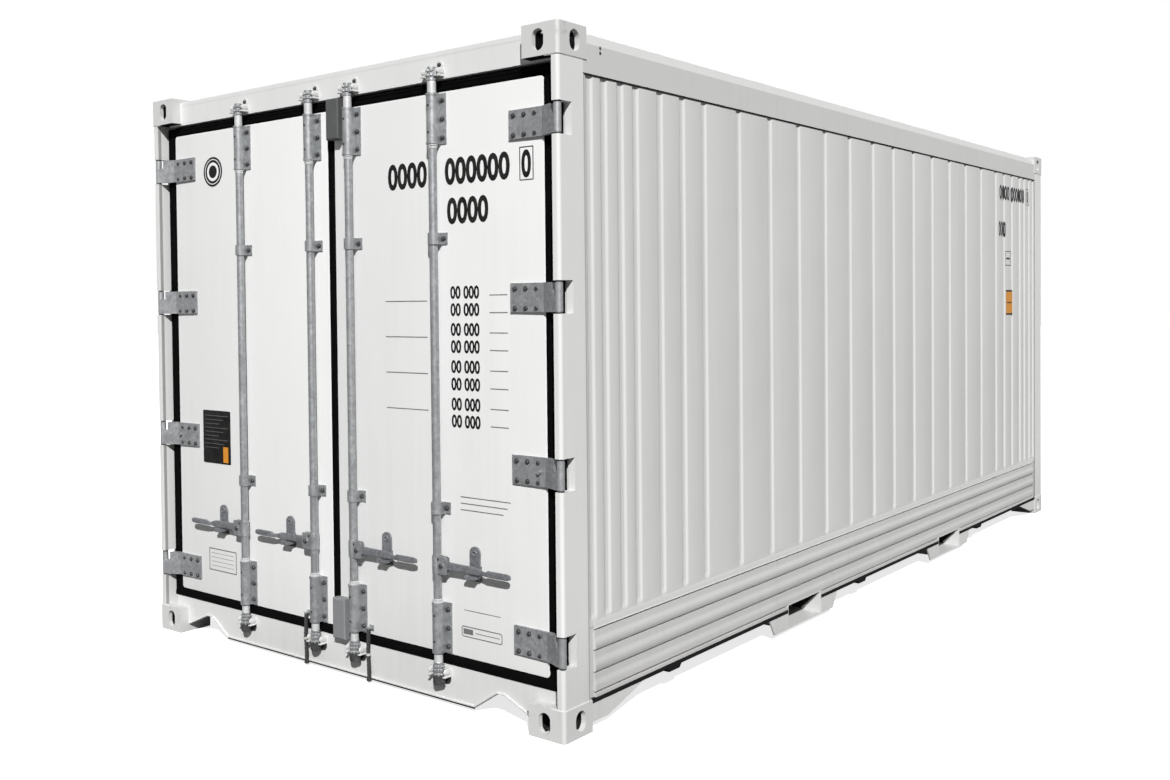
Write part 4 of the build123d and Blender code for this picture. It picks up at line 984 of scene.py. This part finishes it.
class CONTAINER_OT_keepers(ContainerOperator, bpy.types.Operator):
    """Casts the eight keepers: each side of the cam a foot, a web, a round lug and a thin lip under it"""

    bl_idname = "container.keepers"
    bl_label = "Keepers"

    def execute(self, context):
        # What stands each side of a keeper's middle: the shape, its distance from the middle and its rise
        sides = (
            (pad(rounded(20, 34, 7), 4, 1.5), 36, 15),
            (slab(rounded(8, 26, 2), 2, 31), 39, 15),
            (self.lug(7, 13, 41), 39, 20),
            (pad(rounded(13.5, 6, 2.4, 4), 42, 2.2), 39, 1),
        )
        tab = pad(rounded(30, 34, 12), TAB_THICK, 1.5)
        saddle = pad(rounded(86, 52, 22), 1.2, 0.6)
        high = KEEPER_LEVELS[1]
        shapes = []
        for x in BAR_LINES:
            for level in KEEPER_LEVELS:
                shapes += [
                    put(shape, (x + way * aside, FRAME_FACE, level + rise), DOOR_WAY)
                    for way in (-1, 1) for shape, aside, rise in sides]
            # A bolted tab stands over the right lug of each high keeper
            shapes.append(put(tab, (x + TAB_ASIDE, FRAME_FACE, high + 44), DOOR_WAY))
        heads = [put(bolt(12), (x + TAB_ASIDE, FRAME_FACE - TAB_THICK, high + 46), DOOR_WAY) for x in BAR_LINES]
        make("keeper_bolts", heads, "bolt_steel")
        # Each low keeper stands on a dark saddle plate, whose darkness also stands in for the shade under the
        # keeper
        saddles = [put(saddle, (x, FRAME_FACE, SADDLE_LEVEL), DOOR_WAY) for x in BAR_LINES]
        make("keeper_saddles", saddles, "bolt_steel", slot="galvanised_steel")
        keepers = make("keepers", shapes, "keeper_paint")
        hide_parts("lock_keepers")
        return {"FINISHED"}

    def lug(self, half_wide, half_high, reach):
        """A round-nosed lug: an oval that keeps its size halfway, then shrinks as a quarter circle."""
        turn = np.linspace(0, math.pi / 2 - 0.12, 8)
        sizes = np.concatenate([[1.0], np.cos(turn)])
        heights = np.concatenate([[2.0], reach / 2 + reach / 2 * np.sin(turn)])
        oval = circle(1.0, 28)
        oval = np.sign(oval) * np.abs(oval) ** 0.75 * (half_wide, half_high)
        return loft(np.array([raised(oval * size, height) for size, height in zip(sizes, heights)]))


class CONTAINER_OT_handles(ContainerOperator, bpy.types.Operator):
    """Forges the four handles: a round eye, a waist and a flat grip that stands out from the door"""

    bl_idname = "container.handles"
    bl_label = "Handles"

    def execute(self, context):
        # Stations along the handle: share of its length, half height, half thickness, drop of its middle
        stations = np.array([
            (-0.040, 2.0, 2.0, 0), (-0.037, 8.0, 4.0, 0), (-0.025, 11.0, 5.0, 0), (0.0, 12.5, 5.0, 0),
            (0.05, 16.5, 5.0, 0), (0.10, 16.5, 5.0, 0), (0.30, 15.0, 5.0, 0), (0.42, 15.5, 5.0, 0),
            (0.53, 14.0, 5.0, 1), (0.60, 8.5, 5.0, 4), (0.65, 8.0, 5.0, 4), (0.69, 12.5, 5.0, 0),
            (0.72, 12.2, 5.0, 0), (0.95, 12.2, 5.0, 0), (0.99, 10.5, 4.6, 0), (1.015, 7.0, 3.6, 0)])
        share = np.linspace(stations[0, 0], stations[-1, 0], 90)
        half_high, half_thick, drop = (np.interp(share, stations[:, 0], column) for column in stations.T[1:])
        # The grip is cranked 9 mm away from the door
        out = np.interp(share, (0.58, 0.70), (0, 9))
        unit = rounded(2, 2, 0.45, 4)
        for side, s in SIDES.items():
            for place in PLACES:
                x = s * (BAR_PLACES[place] + HANDLE_PIVOT) + s * share * (HANDLE_REACH - HANDLE_PIVOT)
                rows = np.empty((len(share), len(unit), 3))
                rows[..., 0] = x[:, None]
                rows[..., 1] = HANDLE_Y - out[:, None] + s * unit[:, 0] * half_thick[:, None]
                rows[..., 2] = HANDLE_LEVEL - drop[:, None] + unit[:, 1] * half_high[:, None]
                body = f"{side}_{place}_handle"
                piece = make(f"{side}_{place}_forged_handle", [loft(rows)], "handle_zinc", body)
                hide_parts(body)
        return {"FINISHED"}


class CONTAINER_OT_handle_keeps(ContainerOperator, bpy.types.Operator):
    """Bolts the handle keeps to the doors and adds the boss of the seal hole and the webs of the shelf"""

    bl_idname = "container.handle_keeps"
    bl_label = "Handle keeps"

    def execute(self, context):
        head = bolt(13)
        web = slab([(0, 0), (0, -15), (6, -15), (36, 0)], -2.5, 2.5)
        boss = self.ring(11.5, 6.0, 3.0, 0.8)
        for side, s in SIDES.items():
            bolts = []
            castings = []
            for place in PLACES:
                x = s * (BAR_PLACES[place] + KEEP_X)
                bolts += [put(head, (x + way * 17, FLANGE_FACE, KEEP_BOLT_LEVEL), DOOR_WAY) for way in (-1, 1)]
                castings.append(put(boss, (x, DOOR_FACE - 14, SEAL_HOLE_LEVEL), DOOR_WAY))
                castings += [put(web, (x + way * 4, FLANGE_FACE, SHELF_LEVEL), LEFT_WAY) for way in (-1, 1)]
            make(f"{side}_keep_bolts", bolts, "bolt_steel", f"{side}_door")
            make(f"{side}_keep_castings", castings, "handle_zinc", f"{side}_door")
        return {"FINISHED"}

    def ring(self, outer, inner, high, soft):
        """A raised ring round a hole: its rows climb the outside, cross the top and go down the inside."""
        radii = (outer, outer, outer - soft, inner + soft, inner, inner)
        levels = (0.0, high - soft, high, high, high - soft, 0.0)
        rows = [raised(circle(radius, 32), level) for radius, level in zip(radii, levels)]
        points, faces = loft(np.array(rows))
        return points, faces[:-2]


class CONTAINER_OT_frame_details(ContainerOperator, bpy.types.Operator):
    """Runs weld beads, lips and strips along the frame, lays lines and plates of painted shade along its edges
    and joints and under its fittings, and adds the rails' small plugs
    """

    bl_idname = "container.frame_details"
    bl_label = "Frame details"

    def execute(self, context):
        self.steel(context.scene.container_sizes.weld_radius)
        self.joint_shade()
        plug = plate(circle(6.5, 24), [(0, 0), (0.5, 1.2), (2.4, 1.2), (2.8, 0.2)])
        stud = plate(circle(5, 20), [(0, 0), (0.6, 0.8)])
        plugs = []
        for s, way in ((1, RIGHT_WAY), (-1, LEFT_WAY)):
            plugs += [put(plug, (s * 1215, -2756, z), way) for z in (2509, 2528)]
            plugs.append(put(stud, (s * 1218.1, -3008, 2484), way))
        make("rail_plugs", plugs, "bolt_steel")
        return {"FINISHED"}

    def steel(self, radius):
        """Weld beads at the fittings, a lip and a black line of painted shade under each sill, a strip over
        each header.
        """
        beads = []
        for s, e in CORNERS:
            x, y = s * 1214.3, e * 3024.3
            inner_x, inner_y = s * 1057, e * 2976
            for z in (118, 2473):
                beads.append(weld((s * 1155, y, z), (s * 1203, y, z), radius))
                beads.append(weld((x, e * 2872, z), (x, e * 3012, z), radius))
            for bottom, top in ((2477, 2572), (34, 116)):
                beads.append(weld((inner_x, inner_y, bottom), (inner_x, inner_y, top), radius))
        make("frame_welds", beads, "frame_paint")

        # A folded lip stiffens the sill's lower edge and follows it up into the notches
        foot = 757
        half = [(1054, 39), (909, 103), (869, 103), (foot, 27)]
        edge = [(-x, z) for x, z in half] + half[::-1]
        lips = [
            carried([(x, e * 2978, z) for x, z in pair], rounded(6, 10, 1.5, 3))
            for e in ENDS for pair in zip(edge, edge[1:])]
        make("sill_lips", lips, "frame_paint")
        # A black line of painted shade runs under each sill's lower edge
        shade_runs = [carried([(x, e * 2977, 20.8) for x in (-foot, foot)], rounded(9, 3, 1, 3)) for e in ENDS]
        make("sill_edge_shade", shade_runs, "black_coat_and_shade")

        # A folded strip closes the upper front edge of each header
        fold = [(-2975.6, 2556), (-2974, 2556), (-2960, 2574.6), (-2975.6, 2574.6)]
        make("header_strips", [drawn(mirrored(fold, -e), -1056, 1056) for e in ENDS], "frame_paint")

    def joint_shade(self):
        """Lines of painted shade at the joints of rails, walls and posts, and black plates of painted shade
        under the fittings over the doors.
        """
        # A dark line of painted shade lies under each top rail's lower edge
        beads = [carried([(s * 1211, e * 2868, 2422) for e in ENDS], circle(3.2, 8)) for s in SIDES.values()]
        make("rail_shade_line", beads, "dark_shade_line")
        # A grey line of painted shade lies behind each post's rear edge
        beads = [
            carried([(s * 1213, e * 2864, z) for z in (122, 2420)], circle(3.0, 8))
            for s in SIDES.values() for e in ENDS]
        make("post_edge_shade", beads, "grey_shade_line")
        # A black plate of painted shade lies under each upper rear fitting
        under = slab(rounded(127, 84, 3), -0.6, 0)
        make("fitting_painted_shade", [put(under, (s * 1121.5, -2984, 2473)) for s in SIDES.values()], "rubber")

        # A grey line of painted shade runs down the inner side of each rear post's strip, between its hinge
        # notches
        ends = [118, *(level + rise for level in HINGE_LEVELS for rise in (-60, 60)), 2472]
        shade_runs = [
            put(slab(rounded(16, top - bottom, 1), 0, 1), (s * 1186, -3011, (bottom + top) / 2), way)
            for s, way in ((1, LEFT_WAY), (-1, RIGHT_WAY)) for bottom, top in zip(ends[::2], ends[1::2])]
        make("post_strip_shade", shade_runs, "grey_shade_line")


# Flat marks, in the x and y of the face that they lie on


def fitted(text, low, high):
    """Plain figures, filled and stretched over the rectangle between two corners."""
    curve = bpy.data.curves.new("figures", "FONT")
    curve.body = text
    curve.size = 100
    curve.offset = 3.4
    curve.resolution_u = 4
    points, faces = flattened(curve)
    points -= (points[:, 0].min(), points[:, 1].min(), 0)
    scale = np.subtract(high, low) / points[:, :2].max(0)
    return points * (*scale, 1) + (*low, 0), faces


def rule(start, stop, low, thick):
    """A rectangle from one place along x to another, by its lower edge and its height."""
    return raised([(start, low), (stop, low), (stop, low + thick), (start, low + thick)], 0), [[0, 1, 2, 3]]


def strip_between(outer, inner):
    """The strip between two outlines of equal point counts."""
    count = len(outer)
    j = np.arange(count)
    k = (j + 1) % count
    faces = np.stack([j, k, k + count, j + count], -1).tolist()
    return raised(np.concatenate([outer, inner]), 0), faces


def frame_mark(low, high, line, corner=2.0):
    """A thin line round a rectangle with rounded corners: the strip from its outline to that one inset."""
    outer = rounded(*np.subtract(high, low), corner) + np.add(low, high) / 2
    return strip_between(outer, inset(outer, line))


def lay(name, marks, kind, body, lift=0.4):
    """Lays marks on a door's skin, or on the right wall for the root, so far off it that they show."""
    if body == "root":
        place, way = (WALL_FACE + lift, 0, 0), RIGHT_WAY
    else:
        place, way = (0, SKIN_FACE - lift, 0), DOOR_WAY
    make(name, [put(mark, place, way) for mark in marks], kind, body, smooth=1)


class CONTAINER_OT_markings(ContainerOperator, bpy.types.Operator):
    """Lays plain films where the doors and the side carry markings: noughts, rules, rings and bare plates"""

    bl_idname = "container.markings"
    bl_label = "Markings"

    def execute(self, context):
        self.mark_right_door()
        self.mark_left_door()
        self.mark_right_side()
        return {"FINISHED"}

    def mark_right_door(self):
        """Rows of noughts above a table of eight rows, and a few rules and a box below."""
        tops = (1657, 1590, 1513, 1446, 1368, 1300, 1222, 1155)
        figures = [
            fitted("0000", (323, 2049), (537, 2156)),
            fitted("000000", (631, 2049), (953, 2156)),
            fitted("0", (1007, 2049), (1052, 2154)),
            frame_mark((998, 2040), (1063, 2165), 4),
            fitted("0000", (640, 1896), (848, 2001))]
        figures += [fitted("00 000", (652, top - 52), (798, top)) for top in tops]
        lay("right_door_figures", figures, "mark", "right_door")

        rules = [rule(300, 530, top - 60, 4) for top in tops[::2]]
        rules += [rule(848, 935, top - 40, 4) for top in tops]
        rules += [rule(693, stop, y, 4) for y, stop in ((783, 905), (808, 925), (833, 940))]
        rules += [frame_mark((690, 288), (893, 331), 4, 10), rule(699, 748, 300, 21), rule(760, 880, 308, 3)]
        rules += [rule(704, 885, 392, 3)]
        lay("right_door_rules", rules, "soft_mark", "right_door")

    def mark_left_door(self):
        """A ringed disc, a raised plate with rules and an orange patch, and a framed label."""
        centre = (-823, 2223, 0)
        rings = [
            put(strip_between(circle(outer, 64), circle(inner, 64)), centre)
            for outer, inner in ((60, 56), (44, 30))]
        lay("left_door_disc", [put(slab(circle(70, 64), 0, 0.4), centre)], "mark", "left_door")
        lay("left_door_rings", rings, "white_film", "left_door", 0.9)

        sheet = pad(rounded(205, 252, 6), 1.6, 0.6)
        make("left_door_plate", [put(sheet, (-825, SKIN_FACE, 966), DOOR_WAY)], "mark", "left_door")
        lines = [rule(-913, -740 - 34 * (n % 3), y, 2) for n, y in enumerate(range(1066, 900, -19))]
        lay("left_door_plate_rules", lines, "soft_mark", "left_door", 1.9)
        lay("left_door_patch", [rule(-777, -740, 848, 74)], "orange", "left_door", 1.9)
        label = [frame_mark((-897, 325), (-693, 432), 5)]
        label += [rule(-880, -712, y, 2) for y in (408, 388, 368, 348)]
        lay("left_door_label", label, "soft_mark", "left_door")

    def mark_right_side(self):
        """Noughts and boxes at the far end of the side, and an orange patch with dark rules under them."""
        figures = [
            fitted("0000", (2054, 2240), (2273, 2340)),
            fitted("000000", (2312, 2240), (2618, 2340)),
            fitted("0", (2680, 2248), (2712, 2332)),
            frame_mark((2662, 2232), (2730, 2348), 4),
            fitted("0000", (2036, 1990), (2190, 2095)),
            frame_mark((2178, 1795), (2305, 1895), 5),
            rule(2200, 2283, 1838, 12)]
        lay("right_side_figures", figures, "mark", "root", 0.5)
        lay("right_side_patch", [rule(2195, 2337, 1457, 171)], "orange", "root", 0.5)
        rules = [rule(2195, 2337, 1457, 12), rule(2215, 2320, 1538, 8), rule(2195, 2337, 1616, 12)]
        lay("right_side_patch_rules", rules, "mark", "root", 0.9)


class CONTAINER_PT_panel(bpy.types.Panel):
    """Lists the container's settings and pieces"""

    bl_label = "Container"
    bl_space_type = "VIEW_3D"
    bl_region_type = "UI"
    bl_category = "Container"

    def draw(self, context):
        scene = context.scene
        for group in (scene.container_look, scene.container_sizes, scene.container_stage):
            box = self.layout.box()
            for name in group.__annotations__:
                box.prop(group, name)
        for operator in OPERATORS:
            self.layout.operator(operator.bl_idname)


OPERATORS = (
    CONTAINER_OT_stage,
    CONTAINER_OT_finishes,
    CONTAINER_OT_tie_ropes,
    CONTAINER_OT_side_walls,
    CONTAINER_OT_kick_rails,
    CONTAINER_OT_pocket_coating,
    CONTAINER_OT_door_seals,
    CONTAINER_OT_hinge_hardware,
    CONTAINER_OT_bar_hardware,
    CONTAINER_OT_keepers,
    CONTAINER_OT_handles,
    CONTAINER_OT_handle_keeps,
    CONTAINER_OT_frame_details,
    CONTAINER_OT_markings,
)
CLASSES = (ContainerLook, ContainerSizes, ContainerStage, *OPERATORS, CONTAINER_PT_panel)


def register():
    """Adds the classes and their settings."""
    for made in CLASSES:
        bpy.utils.register_class(made)
    bpy.types.Scene.container_look = PointerProperty(type=ContainerLook)
    bpy.types.Scene.container_sizes = PointerProperty(type=ContainerSizes)
    bpy.types.Scene.container_stage = PointerProperty(type=ContainerStage)


def unregister():
    """Takes them away again."""
    del bpy.types.Scene.container_look
    del bpy.types.Scene.container_sizes
    del bpy.types.Scene.container_stage
    for made in reversed(CLASSES):
        bpy.utils.unregister_class(made)


def main():
    """Makes every piece in order."""
    register()
    for operator in OPERATORS:
        group, name = operator.bl_idname.split(".")
        getattr(getattr(bpy.ops, group), name)()


if __name__ == "__main__":
    main()
